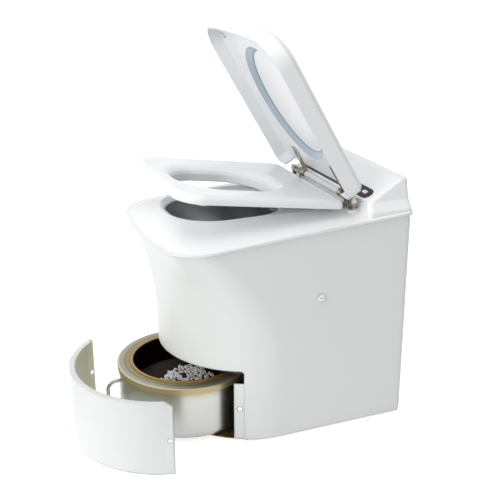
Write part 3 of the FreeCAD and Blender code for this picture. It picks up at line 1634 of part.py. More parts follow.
def pan_liner():
    """Inner pot that holds the ash."""
    wall = s.pan_wall
    low = s.liner_floor
    top = s.pan_height + s.pan_lip
    points = [
        (0, low),
        (liner_radius - s.pan_round, low),
        (liner_radius, low + s.pan_round),
        (liner_radius, top),
        (liner_radius - wall, top),
        (liner_radius - wall, low + s.pan_round),
        (liner_radius - s.pan_round, low + wall),
        (0, low + wall),
    ]
    pot = turned("pan_liner_pot", points, (0, pan_out_y, pan_floor))
    under = (0, pan_out_y, pan_floor + wall)
    stand = rod("pan_liner_stand", liner_radius * STAND_SHARE, low - wall, under)
    return keep(fuse("pan_liner", pot, stand))


def ash():
    """Heap of ash in the inner pot."""
    inside = liner_radius - s.pan_wall - s.slide_gap
    low = s.liner_floor + s.pan_wall
    level = s.liner_floor + s.ash_level
    crown = s.ash_crown
    points = [
        (0, low),
        (inside - s.pan_round, low),
        (inside, low + s.pan_round),
        (inside, level),
    ]
    for across, up in ASH_SLOPE:
        points.append((inside * across, level + crown * up))
    points.append((0, level + crown))
    return keep(turned("ash", points, (0, pan_out_y, pan_floor)))


def pan_handle():
    """Bent rod handle on the pan's front: two legs, two bends and a grip."""
    wall_y = pan_out_y.number - pot_radius.number
    out_y = wall_y - s.handle_reach.number
    high = pan_floor.number + s.handle_high.number
    low = pan_floor.number + s.handle_low.number
    bend = s.handle_bend.number
    slack = bend * (1 - math.sqrt(0.5))

    def at(y, z):
        return Vector(0, y, z)

    path = [
        Part.LineSegment(at(wall_y, high), at(out_y + bend, high)),
        Part.Arc(at(out_y + bend, high), at(out_y + slack, high - slack), at(out_y, high - bend)),
        Part.LineSegment(at(out_y, high - bend), at(out_y, low + bend)),
        Part.Arc(at(out_y, low + bend), at(out_y + slack, low + slack), at(out_y + bend, low)),
        Part.LineSegment(at(out_y + bend, low), at(wall_y, low)),
    ]
    circle = Part.Circle(at(wall_y, high), Vector(0, -1, 0), s.handle_rod.number)
    grip = sweep([edge.toShape() for edge in path], Part.Wire([circle.toShape()]))
    return keep(shaped("pan_handle", grip))


def pan_runners():
    """Two strips on the base plate that the pan slides on."""
    runners = []
    along = (pan_y - pan_radius * RUNNER_SHARE, pan_y + pan_radius * RUNNER_SHARE)
    for label, side in (("left", -1), ("right", 1)):
        x = s.runner_spread / 2 * side
        across = (x - s.runner_width / 2, x + s.runner_width / 2)
        runners.append(block(f"{label}_runner", across, along, (base_top, runner_top)))
    return keep(group("pan_runners", runners))


# Front cover, drawn on the bay and set down in front of it


def cover_axis():
    """Upright axis that the cover turns about from the bay, seen from the pan, to where it stands."""
    shift = Vector(s.cover_shift_x.number, s.pan_travel.number - s.cover_shift_y.number, 0)
    middle = Vector(0, bay_edge.number - s.pan_travel.number, 0) + shift * 0.5
    half_angle = math.radians(s.cover_turn.number) / 2
    away = Vector(-shift.y, shift.x, 0) * (0.5 / math.tan(half_angle))
    return middle + away


# The cover's stud holes against the studs
STUD_HOLE = 0.85


def front_cover():
    """Curved sheet over the pan bay with an inward flange on top and a stud hole near each end."""
    wall = s.cabinet_sheet.number
    low = s.cover_ground_gap.number
    high = low + s.cover_height.number
    outer = prism(cabinet_outline(low, 0), high - low)
    inner = prism(cabinet_outline(low, wall), high - low)
    flange_hole = prism(cabinet_outline(low, s.cover_flange.number, high - wall), wall)
    flange = prism(cabinet_outline(low, 0, high - wall), wall).cut(flange_hole)
    sheet_ring = outer.cut(inner).fuse(flange)
    wide = s.cabinet_width.number
    edge = bay_edge.number - s.cover_gap.number
    far_front = base_front.number - wide
    span = limits_box((-wide, wide), (far_front, edge), (low, high))
    corners = []
    for line in span.Edges:
        centre = line.CenterOfMass
        if abs(centre.y - edge) < TOUCH and abs(centre.z - high) < TOUCH:
            corners.append(line)
    span = span.makeFillet(s.cover_corner.number, corners)
    cover = sheet_ring.common(span)
    for side in (-1, 1):
        point, normal = stud_seat(side)
        hole_radius = s.stud_radius.number * STUD_HOLE
        cover = cover.cut(Part.makeCylinder(hole_radius, 4 * wall, point - normal * 2 * wall, normal))
    axis = cover_axis()
    cover.translate(Vector(0, -s.pan_travel.number, 0))
    cover.rotate(axis, Vector(0, 0, 1), s.cover_turn.number)
    return keep(shaped("front_cover", cover.removeSplitter()))


# Seat, lid and hinges, drawn closed about the hinge axis


def hinged(piece, angle):
    """Sets a piece drawn about the hinge axis into place, raised by an angle."""
    piece.Placement = Placement(Vector(), Rotation(Vector(-1, 0, 0), angle.number))
    piece.setExpression("Placement.Rotation.Angle", angle.text)
    place(piece, 0, hinge_y, hinge_height)
    return piece


seat_low = -s.seat_under.number
seat_high = seat_low + s.seat_thickness.number
seat_middle = bowl_y.number - hinge_y.number
knuckle_inner = (s.tube_length / 2 + s.knuckle_gap).number
knuckle_pitch = (s.knuckle_length + s.knuckle_gap).number


def seat_hole(grow, z):
    return rounded_outline(
        s.seat_hole_width.number / 2 + grow,
        s.seat_hole_length.number / 2 + grow,
        s.seat_hole_radius.number + grow,
        seat_middle,
        z,
    )


# The seat's dished opening: share of the seat's thickness, share of the dish
SEAT_DISH = ((0.0, 0.0), (0.4, 0.15), (0.75, 0.5), (1.0, 1.0))


def seat():
    """Moulded seat with a dished opening and a splash skirt under it."""
    outline = bowed_outline(
        s.seat_width.number / 2,
        -s.seat_back.number,
        -s.seat_reach.number,
        s.seat_corner.number,
        s.seat_bow.number,
        s.rear_corner_radius.number,
        seat_low,
    )
    slab = prism(outline, s.seat_thickness.number)
    top = [edge for edge in slab.Edges if abs(edge.BoundBox.ZMin - seat_high) < TOUCH]
    slab = slab.makeFillet(s.seat_round.number, top)
    skirt_low = seat_low - s.skirt_drop.number
    skirt = prism(seat_hole(s.skirt_wall.number, skirt_low), s.skirt_drop.number)
    dish = s.seat_dish.number
    outlines = []
    for rise, share in SEAT_DISH:
        outlines.append(seat_hole(dish * share, seat_low + rise * s.seat_thickness.number))
    above = outlines[-1].copy()
    above.translate(Vector(0, 0, s.seat_thickness.number))
    through = prism(seat_hole(0, skirt_low), s.skirt_drop.number)
    hole = solid_loft(outlines, True)
    hole = hole.fuse(solid_loft([outlines[-1], above], True)).fuse(through)
    piece = slab.fuse(skirt).cut(hole)
    return keep(hinged(shaped("seat", piece.removeSplitter()), s.seat_rest_angle))


def knuckle(x_start):
    start = Vector(x_start, 0, 0)
    return Part.makeCylinder(s.knuckle_radius.number, s.knuckle_length.number, start, Vector(1, 0, 0))


def knuckle_bore():
    radius = s.hinge_rod_radius.number + s.running_gap.number
    start = Vector(-half_width.number, 0, 0)
    return Part.makeCylinder(radius, s.cabinet_width.number, start, Vector(1, 0, 0))


# Width of a seat leaf against its knuckle
LEAF_SHARE = 0.75


def seat_hinge_leaves():
    """Knuckles with leaves under the seat's rear edge."""
    leaves = []
    thick = s.strap_sheet.number
    for side in (-1, 1):
        near = knuckle_inner + knuckle_pitch
        start = near if side > 0 else -near - s.knuckle_length.number
        wide = LEAF_SHARE * s.knuckle_length.number
        across = (near, near + wide) if side > 0 else (-near - wide, -near)
        leaf = limits_box(across, (-s.strap_reach.number, 0), (seat_low - thick, seat_low))
        web = limits_box(across, (-thick, thick), (seat_low - thick, 0))
        leaves.append(knuckle(start).fuse(leaf).fuse(web).cut(knuckle_bore()).removeSplitter())
    return keep(hinged(shaped("seat_hinge_leaves", Part.makeCompound(leaves)), s.seat_rest_angle))


liner_face = seat_high + s.lid_gap.number


def lid_hinge_straps():
    """Knuckles with cranked straps on the lid's inner face."""
    straps = []
    thick = s.strap_sheet.number
    knuckle_radius = s.knuckle_radius.number
    for side in (-1, 1):
        start = knuckle_inner if side > 0 else -knuckle_inner - s.knuckle_length.number
        end = start + s.knuckle_length.number
        across = (start, end)
        bend = -knuckle_radius + thick
        strap = limits_box(across, (-s.strap_reach.number, bend), (liner_face - thick, liner_face))
        web = limits_box(across, (bend - 2 * thick, bend), (0, liner_face))
        foot = limits_box(across, (bend - 2 * thick, 0), (0, thick))
        whole = knuckle(start).fuse(strap).fuse(web).fuse(foot)
        straps.append(whole.cut(knuckle_bore()).removeSplitter())
    return keep(hinged(shaped("lid_hinge_straps", Part.makeCompound(straps)), s.lid_rest_angle))


lid_half = s.seat_width.number / 2 + s.lid_clearance.number + s.lid_wall.number
lid_front = -s.seat_reach.number - s.lid_clearance.number - s.lid_wall.number
lid_corner = s.seat_corner.number + s.lid_clearance.number + s.lid_wall.number

# The lid's top: share of the crown, share of the half width
LID_DOME = ((0.0, 0.0), (0.5, 0.04), (0.85, 0.12), (1.0, 0.25))
# Smallest corners of the lid's inner outlines, as shares of the outer ones
LEAST_CORNER = 1 / 6
LEAST_REAR_CORNER = 1 / 4


def lid_outline(inset, z):
    """The lid's outline moved inwards by an inset, at height z above the hinge axis."""
    rear_corner = s.rear_corner_radius.number
    return bowed_outline(
        lid_half - inset,
        -s.lid_back.number - inset,
        lid_front + inset,
        max(lid_corner - inset, lid_corner * LEAST_CORNER),
        s.seat_bow.number,
        max(rear_corner - inset, rear_corner * LEAST_REAR_CORNER),
        z,
    )


def lid_solid(inset):
    """The lid's outer form, or its hollow when an inset is given."""
    rim = -s.lid_rim.number
    shoulder = s.lid_shoulder.number
    outlines = []
    for rise, share in LID_DOME:
        z = shoulder + rise * s.lid_crown.number - inset * (rise > 0)
        outlines.append(lid_outline(inset + share * lid_half, z))
    return prism(lid_outline(inset, rim), shoulder - rim).fuse(solid_loft(outlines, ruled=True))


def lid():
    """Moulded lid: a bevelled flat top with deep side walls that close over the seat."""
    shell = lid_solid(0).cut(lid_solid(s.lid_wall.number))
    room = knuckle_inner + 2 * knuckle_pitch + s.knuckle_gap.number
    front = -s.lid_back.number - s.lid_wall.number - s.rear_corner_radius.number
    hinge_room = limits_box((-room, room), (front, 0), (-s.lid_rim.number, liner_face))
    return keep(hinged(shaped("lid", shell.cut(hinge_room).removeSplitter()), s.lid_rest_angle))


def oval(width, length, z):
    """Oval outline about the recess's middle, at height z."""
    middle = -s.recess_middle.number
    centre = Vector(0, middle, z)
    ellipse = Part.Ellipse(Vector(0, middle + length / 2, z), Vector(width / 2, middle, z), centre)
    return Part.Wire([ellipse.toShape()])


def lid_liner():
    """Inner tray of the lid with an oval recess."""
    thick = s.lid_liner_sheet.number
    depth = s.lid_recess.number
    slope = s.recess_slope.number
    plate = prism(lid_outline(s.lid_wall.number, liner_face), thick)
    wide = s.recess_width.number
    long = s.recess_length.number
    back_wide = wide - 2 * slope + 2 * thick
    back_long = long - 2 * slope + 2 * thick
    backing = solid_loft(
        [
            oval(wide + 2 * thick, long + 2 * thick, liner_face),
            oval(back_wide, back_long, liner_face + depth + thick),
        ]
    )
    recess = solid_loft(
        [
            oval(wide, long, liner_face),
            oval(wide - 2 * slope, long - 2 * slope, liner_face + depth),
        ]
    )
    tray = plate.fuse(backing).cut(recess).removeSplitter()
    return keep(hinged(shaped("lid_liner", tray), s.lid_rest_angle))


# How far the feet and buttons keep off the seat's edge and the hinges, in their radii, and where the
# lid's buttons stand in the front corners
FOOT_INSET = 2.2
BUTTON_INSET = 3
BUTTON_CORNER = 0.6


def bumpers(name, places, high, angle):
    """Round rubber buttons at given places and lower ends about the hinge axis."""
    buttons = []
    for x, y, low in places:
        buttons.append(Part.makeCylinder(s.bumper_radius.number, high - low, Vector(x, y, low)))
    return keep(hinged(shaped(name, Part.makeCompound(buttons)), angle))


def seat_bumpers(cover):
    """Feet under the seat, each as long as the closed seat needs above the deck's slope."""
    radius = s.bumper_radius.number
    across = s.seat_width.number / 2 - radius * FOOT_INSET
    front = -s.seat_reach.number + s.seat_corner.number
    back = -s.strap_reach.number - radius * BUTTON_INSET
    places = []
    for x, y in ((-across, front), (across, front), (-across, back), (across, back)):
        foot = Vector(x, hinge_y.number + y, front_seam.number)
        below = cover.common(Part.makeCylinder(radius, deck_height.number, foot))
        places.append((x, y, below.BoundBox.ZMax - hinge_height.number + s.slide_gap.number))
    return bumpers("seat_bumpers", places, seat_low, s.seat_rest_angle)


def lid_bumpers():
    """Clear buttons on the liner that land in the gap beside the seat's dish."""
    across = s.seat_width.number / 2 - s.bumper_radius.number * BUTTON_INSET
    front = -s.seat_reach.number + s.seat_corner.number * BUTTON_CORNER
    low = seat_high + s.slide_gap.number * 2
    places = ((-across, front, low), (across, front, low))
    return bumpers("lid_bumpers", places, liner_face, s.lid_rest_angle)


# The post's base against the strap's thickness, its stem against the eye's length, and the tube
# against the knuckle
POST_BASE = 1.5
POST_STEM = 0.45
TUBE_SHARE = 0.9


def hinge_posts():
    """Posts on round bases that hold the hinge rod's ends."""
    posts = []
    eye = post_eye
    for label, side in (("left", -1), ("right", 1)):
        start = post_x if side > 0 else -post_x - eye
        middle = start + eye / 2
        on_deck = (middle, hinge_y, deck_height)
        base = rod(f"{label}_post_base", s.post_radius, s.strap_sheet * POST_BASE, on_deck)
        stem = rod(f"{label}_post_stem", eye * POST_STEM, s.hinge_rise, on_deck)
        loop = rod(f"{label}_post_eye", s.knuckle_radius, eye, (start, hinge_y, hinge_height), "x")
        outside = (start - eye, hinge_y, hinge_height)
        bore = rod(f"{label}_post_bore", s.hinge_rod_radius, eye * 3, outside, "x")
        posts.append(cut(f"{label}_hinge_post", fuse(f"{label}_post_whole", base, stem, loop), bore))
    return keep(group("hinge_posts", posts))


def hinge_rod():
    half = post_x + post_eye
    return keep(rod("hinge_rod", s.hinge_rod_radius, half * 2, (-half, hinge_y, hinge_height), "x"))


def hinge_tube():
    """White sleeve on the rod between the hinges."""
    length = s.tube_length
    bore = s.hinge_rod_radius + s.running_gap
    end = (-length / 2, hinge_y, hinge_height)
    outer = rod("hinge_tube_outer", s.knuckle_radius * TUBE_SHARE, length, end, "x")
    inner = rod("hinge_tube_bore", bore, length * 2, (-length, hinge_y, hinge_height), "x")
    return keep(cut("hinge_tube", outer, inner))


def bowl_seal():
    """Gasket between the deck and the bowl frame's flange."""
    grow = -FLANGE_MARGIN * s.jaw_boss.number / 2
    thick = s.seal_thickness.number
    ring = prism(flange_outline(0, frame_top.number), thick)
    return keep(shaped("bowl_seal", ring.cut(prism(flange_outline(grow, frame_top.number), thick))))


def build():
    """Makes every piece, from the floor up."""
    foot_rails()
    base_plate()
    cabinet_shell()
    side_screws()
    landing_strips()
    stud_brackets()
    snap_stud("left", -1)
    snap_stud("right", 1)
    back_panel()
    back_panel_screws()
    cable_gland()
    cover = top_cover()
    control_panel()
    start_button()
    indicator_lens()
    panel_board()
    bowl_frame()
    bowl_seal()
    jaw("front_jaw", s.jaw_half_length.number, -1)
    jaw("rear_jaw", s.jaw_half_length.number + s.jaw_sheet.number + s.jaw_gap.number, 1)
    jaw_brackets()
    jaw_pivots()
    jaw_gear_motor()
    chute()
    chamber_plate()
    chamber_legs()
    chamber_ring("chamber_shell", pan_radius, pan_radius - s.chamber_sheet)
    chamber_ring("chamber_insulation", pan_radius - s.chamber_sheet, liner_outer)
    chamber_ring("chamber_liner", liner_outer, liner_outer - s.chamber_sheet)
    chamber_top_plate()
    heating_element()
    thermocouple()
    catalyst_can()
    catalyst_core()
    fan_housing()
    fan_motor()
    fan_impeller()
    exhaust_spigot()
    electronics_box()
    circuit_board()
    transformer()
    terminal_block()
    pan_runners()
    ash_pan()
    pan_rim()
    pan_insulation()
    pan_liner()
    ash()
    pan_handle()
    front_cover()
    hinge_posts()
    hinge_rod()
    hinge_tube()
    seat()
    seat_hinge_leaves()
    seat_bumpers(cover.Shape)
    lid()
    lid_liner()
    lid_hinge_straps()
    lid_bumpers()


def export():
    """Checks every object and writes each piece to a file of its own."""
    doc.recompute()
    for item in doc.Objects:
        if "Invalid" in item.State or "Error" in item.State:
            raise RuntimeError(f"{item.Label} failed to build")
    os.makedirs("parts", exist_ok=True)
    for piece in nodes:
        shape = piece.Shape
        if shape.isNull() or not shape.isValid() or shape.Volume <= 0:
            raise RuntimeError(f"{piece.Label} has no valid shape")
    for piece in nodes:
        piece.Shape.exportStep(f"parts/{piece.Label}.step")


build()
export()
axis = cover_axis()
print(f"{len(nodes)} pieces")
print(f"cover axis {axis.x:.3f} {axis.y:.3f}")
print(f"jaw axis {bowl_y.number:.3f} {jaw_z.number:.3f}, exhaust height {exhaust_z.number:.3f}")
frame = fascia_frame()
normal = frame.Rotation.multVec(Vector(0, 0, 1))
print(f"button normal {normal.y:.6f} {normal.z:.6f}")
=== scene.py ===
import math

import bmesh
import bpy
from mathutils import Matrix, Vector


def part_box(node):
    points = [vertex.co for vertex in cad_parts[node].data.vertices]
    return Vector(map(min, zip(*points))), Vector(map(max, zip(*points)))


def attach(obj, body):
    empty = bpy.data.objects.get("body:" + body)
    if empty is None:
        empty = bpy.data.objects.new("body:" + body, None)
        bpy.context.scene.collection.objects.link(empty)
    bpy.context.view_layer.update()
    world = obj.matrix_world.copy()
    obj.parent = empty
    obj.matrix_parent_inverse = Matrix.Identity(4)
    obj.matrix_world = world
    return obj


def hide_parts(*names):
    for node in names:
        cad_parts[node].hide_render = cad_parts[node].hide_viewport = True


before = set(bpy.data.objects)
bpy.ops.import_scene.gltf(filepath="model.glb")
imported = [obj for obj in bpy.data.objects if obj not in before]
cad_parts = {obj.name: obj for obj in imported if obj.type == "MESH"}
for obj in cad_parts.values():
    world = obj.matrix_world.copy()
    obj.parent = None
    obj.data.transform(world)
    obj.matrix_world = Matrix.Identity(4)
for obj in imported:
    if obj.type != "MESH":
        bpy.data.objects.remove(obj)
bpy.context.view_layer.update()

# Floor, light and camera
# A plain white studio floor and surround, with large soft lamps ahead of the cabinet, above it and beside
# it. The camera stands to the right of the cabinet's front, about a metre above the floor.
scene = bpy.context.scene
scene.view_settings.view_transform = "Standard"

FLOOR_HALF = 20.0
FLOOR_GREY = (0.8, 0.8, 0.8, 1.0)
FLOOR_ROUGH = 0.9
FLOOR_GLOW = 0.68
PURE_WHITE = (1, 1, 1, 1)

floor_mesh = bpy.data.meshes.new("floor")
floor_corners = [(-FLOOR_HALF, -FLOOR_HALF, 0), (FLOOR_HALF, -FLOOR_HALF, 0)]
floor_corners += [(FLOOR_HALF, FLOOR_HALF, 0), (-FLOOR_HALF, FLOOR_HALF, 0)]
floor_mesh.from_pydata(floor_corners, [], [(0, 1, 2, 3)])
floor = bpy.data.objects.new("floor", floor_mesh)
scene.collection.objects.link(floor)


def new_material(name):
    """An empty node material with its output and Principled shader."""
    material = bpy.data.materials.new(name)
    material.use_nodes = True
    return material, material.node_tree.nodes, material.node_tree.links


def seen_directly(nodes, links):
    """1 where a camera, glossy or transmission ray looks, so that metal shows the white surround too."""
    rays = nodes.new("ShaderNodeLightPath")
    glossy = nodes.new("ShaderNodeMath")
    glossy.operation = "MAXIMUM"
    links.new(rays.outputs["Is Camera Ray"], glossy.inputs[0])
    links.new(rays.outputs["Is Glossy Ray"], glossy.inputs[1])
    seen = nodes.new("ShaderNodeMath")
    seen.operation = "MAXIMUM"
    links.new(glossy.outputs[0], seen.inputs[0])
    links.new(rays.outputs["Is Transmission Ray"], seen.inputs[1])
    return seen.outputs[0]


floor_material, nodes, links = new_material("pale_floor")
floor_shader = nodes["Principled BSDF"]
floor_shader.inputs["Base Color"].default_value = FLOOR_GREY
floor_shader.inputs["Roughness"].default_value = FLOOR_ROUGH
floor_shader.inputs["Emission Color"].default_value = PURE_WHITE
floor_glow = nodes.new("ShaderNodeMath")
floor_glow.operation = "MULTIPLY"
floor_glow.inputs[1].default_value = FLOOR_GLOW
links.new(seen_directly(nodes, links), floor_glow.inputs[0])
links.new(floor_glow.outputs[0], floor_shader.inputs["Emission Strength"])
floor_mesh.materials.append(floor_material)

WORLD_LIGHT = 0.4
WORLD_SEEN = 1.05
world = bpy.data.worlds.new("studio")
scene.world = world
world.use_nodes = True
nodes = world.node_tree.nodes
links = world.node_tree.links
sky = nodes["Background"]
sky.inputs["Color"].default_value = PURE_WHITE
sky_level = nodes.new("ShaderNodeMapRange")
sky_level.inputs["To Min"].default_value = WORLD_LIGHT
sky_level.inputs["To Max"].default_value = WORLD_SEEN
links.new(seen_directly(nodes, links), sky_level.inputs["Value"])
links.new(sky_level.outputs["Result"], sky.inputs["Strength"])

LAMPS = (
    ("front_softbox", (1.2, -3.4, 1.6), 2.6, 66.0),
    ("top_softbox", (0.3, -0.6, 3.2), 2.0, 36.0),
    ("side_softbox", (3.0, -0.6, 1.8), 2.4, 4.0),
)
OBJECT_MIDDLE = Vector((0, -0.24, 0.36))
for lamp_name, lamp_place, lamp_size, lamp_power in LAMPS:
    lamp_data = bpy.data.lights.new(lamp_name, "AREA")
    lamp_data.size = lamp_size
    lamp_data.energy = lamp_power
    lamp = bpy.data.objects.new(lamp_name, lamp_data)
    lamp.location = lamp_place
    lamp.rotation_euler = (OBJECT_MIDDLE - Vector(lamp_place)).to_track_quat("-Z", "Y").to_euler()
    lamp.visible_glossy = False
    scene.collection.objects.link(lamp)

CAMERA_PLACE = Vector((1.7266, -0.9597, 1.0401))
CAMERA_TARGET = Vector((0, -0.241, 0.3557))
CAMERA_LENS = 66.1
CAMERA_SENSOR = 36.0
camera_data = bpy.data.cameras.new("camera")
camera_data.lens = CAMERA_LENS
camera_data.sensor_width = CAMERA_SENSOR
camera = bpy.data.objects.new("camera", camera_data)
camera.location = CAMERA_PLACE
camera.rotation_euler = (CAMERA_TARGET - CAMERA_PLACE).to_track_quat("-Z", "Y").to_euler()
scene.collection.objects.link(camera)
scene.camera = camera

# Foot rails
# Two rubber rails under the base plate keep the cabinet off the floor. They are plain extruded strips,
# black and matt, with a little dust on them. The bowl's seal and the cable gland are the same rubber.
TONE_SCALE = 3.0
TONE_DETAIL = 2.0
GRAIN_SCALE = 900.0
GRAIN_DETAIL = 1.0
FINE_GRAIN = 0.00002
BUMP_STRENGTH = 0.5


def unevenness_group():
    """Slow change of tone and a fine surface height, both on object coordinates."""
    group = bpy.data.node_groups.new("unevenness", "ShaderNodeTree")
    tone_in = group.interface.new_socket("Tone Scale", in_out="INPUT", socket_type="NodeSocketFloat")
    tone_in.default_value = TONE_SCALE
    grain_in = group.interface.new_socket("Grain Scale", in_out="INPUT", socket_type="NodeSocketFloat")
    grain_in.default_value = GRAIN_SCALE
    group.interface.new_socket("Tone", in_out="OUTPUT", socket_type="NodeSocketFloat")
    group.interface.new_socket("Grain", in_out="OUTPUT", socket_type="NodeSocketFloat")
    entry = group.nodes.new("NodeGroupInput")
    result = group.nodes.new("NodeGroupOutput")
    place = group.nodes.new("ShaderNodeTexCoord")
    layers = (("Tone Scale", "Tone", TONE_DETAIL), ("Grain Scale", "Grain", GRAIN_DETAIL))
    for scale_name, result_name, detail in layers:
        noise = group.nodes.new("ShaderNodeTexNoise")
        noise.inputs["Detail"].default_value = detail
        group.links.new(place.outputs["Object"], noise.inputs["Vector"])
        group.links.new(entry.outputs[scale_name], noise.inputs["Scale"])
        group.links.new(noise.outputs["Fac"], result.inputs[result_name])
    return group


unevenness = unevenness_group()


def add_unevenness(nodes, tone_scale, grain_scale):
    """The unevenness group as a node with its two scales."""
    drift = nodes.new("ShaderNodeGroup")
    drift.node_tree = unevenness
    drift.inputs["Tone Scale"].default_value = tone_scale
    drift.inputs["Grain Scale"].default_value = grain_scale
    return drift


def blend_colours(nodes, links, factor, first, second):
    """A colour between two others. Each of these is a plain colour or another node's output."""
    mix = nodes.new("ShaderNodeMix")
    mix.data_type = "RGBA"
    links.new(factor, mix.inputs["Factor"])
    for socket_name, colour in (("A", first), ("B", second)):
        socket = next(item for item in mix.inputs if item.name == socket_name and item.type == "RGBA")
        if isinstance(colour, bpy.types.NodeSocket):
            links.new(colour, socket)
        else:
            socket.default_value = (*colour, 1)
    return next(item for item in mix.outputs if item.type == "RGBA")


def blend_values(nodes, links, factor, low, high):
    """A number between two others."""
    span = nodes.new("ShaderNodeMapRange")
    span.inputs["To Min"].default_value = low
    span.inputs["To Max"].default_value = high
    links.new(factor, span.inputs["Value"])
    return span.outputs["Result"]


def raise_surface(nodes, links, height, depth, edge_radius=0.0):
    """A bump of a given depth in metres, fed to the shader's normal, over edges that look rounded."""
    bump = nodes.new("ShaderNodeBump")
    if edge_radius:
        edges = nodes.new("ShaderNodeBevel")
        edges.inputs["Radius"].default_value = edge_radius
        links.new(edges.outputs["Normal"], bump.inputs["Normal"])
    bump.inputs["Strength"].default_value = BUMP_STRENGTH
    bump.inputs["Distance"].default_value = depth
    links.new(height, bump.inputs["Height"])
    links.new(bump.outputs["Normal"], nodes["Principled BSDF"].inputs["Normal"])


def toned_material(
    name,
    dark,
    light,
    rough,
    metal=0.0,
    tone_scale=TONE_SCALE,
    grain_scale=GRAIN_SCALE,
    grain=FINE_GRAIN,
    edge_radius=0.0,
):
    """A surface whose colour and roughness drift between two values, over a fine grain."""
    material, nodes, links = new_material(name)
    shader = nodes["Principled BSDF"]
    shader.inputs["Metallic"].default_value = metal
    drift = add_unevenness(nodes, tone_scale, grain_scale)
    colour = blend_colours(nodes, links, drift.outputs["Tone"], dark, light)
    links.new(colour, shader.inputs["Base Color"])
    links.new(blend_values(nodes, links, drift.outputs["Tone"], *rough), shader.inputs["Roughness"])
    raise_surface(nodes, links, drift.outputs["Grain"], grain, edge_radius)
    return material


def dress(material, *names):
    """Gives CAD nodes a material of their own."""
    for name in names:
        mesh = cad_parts[name].data
        mesh.materials.clear()
        mesh.materials.append(material)


RUBBER_DARK = (0.018, 0.018, 0.018)
RUBBER_DUSTY = (0.05, 0.049, 0.047)
rail_rubber = toned_material("rail_rubber", RUBBER_DARK, RUBBER_DUSTY, rough=(0.7, 0.85), tone_scale=20.0)
dress(rail_rubber, "foot_rails", "bowl_seal", "cable_gland")

# Base plate and stud sleeves
# The base is a cut steel sheet with a golden passivated finish, which shows as a lip in the pan bay.
# The sleeves behind the landing strips are turned from the same steel.
BLOTCH_SCALE = 40.0
BLOTCH_DETAIL = 4.0
BLOTCH_FULL = 0.75
CLEAN_SHARE = 0.5
METAL_GRAIN_SCALE = 1500.0


def stain_group():
    """Blotches where a surface has tarnished: 0 on clean metal and 1 in the middle of a blotch."""
    group = bpy.data.node_groups.new("stains", "ShaderNodeTree")
    size_in = group.interface.new_socket("Blotch Scale", in_out="INPUT", socket_type="NodeSocketFloat")
    size_in.default_value = BLOTCH_SCALE
    share_in = group.interface.new_socket("Clean Share", in_out="INPUT", socket_type="NodeSocketFloat")
    share_in.default_value = CLEAN_SHARE
    group.interface.new_socket("Stain", in_out="OUTPUT", socket_type="NodeSocketFloat")
    entry = group.nodes.new("NodeGroupInput")
    result = group.nodes.new("NodeGroupOutput")
    place = group.nodes.new("ShaderNodeTexCoord")
    noise = group.nodes.new("ShaderNodeTexNoise")
    noise.inputs["Detail"].default_value = BLOTCH_DETAIL
    edge = group.nodes.new("ShaderNodeMapRange")
    edge.interpolation_type = "SMOOTHSTEP"
    edge.inputs["From Max"].default_value = BLOTCH_FULL
    group.links.new(place.outputs["Object"], noise.inputs["Vector"])
    group.links.new(entry.outputs["Blotch Scale"], noise.inputs["Scale"])
    group.links.new(noise.outputs["Fac"], edge.inputs["Value"])
    group.links.new(entry.outputs["Clean Share"], edge.inputs["From Min"])
    group.links.new(edge.outputs["Result"], result.inputs["Stain"])
    return group


stains = stain_group()


def add_stains(nodes, blotch_scale, clean_share):
    """The stain group's mask for a blotch scale and a share of clean metal."""
    node = nodes.new("ShaderNodeGroup")
    node.node_tree = stains
    node.inputs["Blotch Scale"].default_value = blotch_scale
    node.inputs["Clean Share"].default_value = clean_share
    return node.outputs["Stain"]


def stained_metal(name, clean, bright, stain, rough, blotch_scale, clean_share):
    """Metal that drifts between two tones, with duller blotches of a third."""
    material, nodes, links = new_material(name)
    shader = nodes["Principled BSDF"]
    shader.inputs["Metallic"].default_value = 1.0
    drift = add_unevenness(nodes, blotch_scale / 2, METAL_GRAIN_SCALE)
    mask = add_stains(nodes, blotch_scale, clean_share)
    metal = blend_colours(nodes, links, drift.outputs["Tone"], clean, bright)
    links.new(blend_colours(nodes, links, mask, metal, stain), shader.inputs["Base Color"])
    links.new(blend_values(nodes, links, mask, *rough), shader.inputs["Roughness"])
    raise_surface(nodes, links, drift.outputs["Grain"], FINE_GRAIN)
    return material


PASSIVATED_DARK = (0.42, 0.34, 0.16)
PASSIVATED_LIGHT = (0.62, 0.53, 0.3)
PASSIVATED_STAIN = (0.2, 0.13, 0.05)
passivated = stained_metal(
    "passivated_sheet",
    PASSIVATED_DARK,
    PASSIVATED_LIGHT,
    PASSIVATED_STAIN,
    rough=(0.35, 0.6),
    blotch_scale=25.0,
    clean_share=0.45,
)
dress(passivated, "base_plate", "stud_brackets")

# Cabinet shell and landing strips
# The cabinet is one bent steel sheet with a white powder coat of a soft gloss and a faint orange peel.
# The strips beside the pan bay are joggled sheet, welded behind its edges and coated with it.
COAT_SHADE = (0.795, 0.825, 0.815)
COAT_LIGHT = (0.835, 0.86, 0.85)
COAT_EDGE = 0.005
powder_coat = toned_material(
    "powder_coat", COAT_SHADE, COAT_LIGHT, rough=(0.3, 0.36), edge_radius=COAT_EDGE
)
dress(powder_coat, "cabinet_shell", "landing_strips")

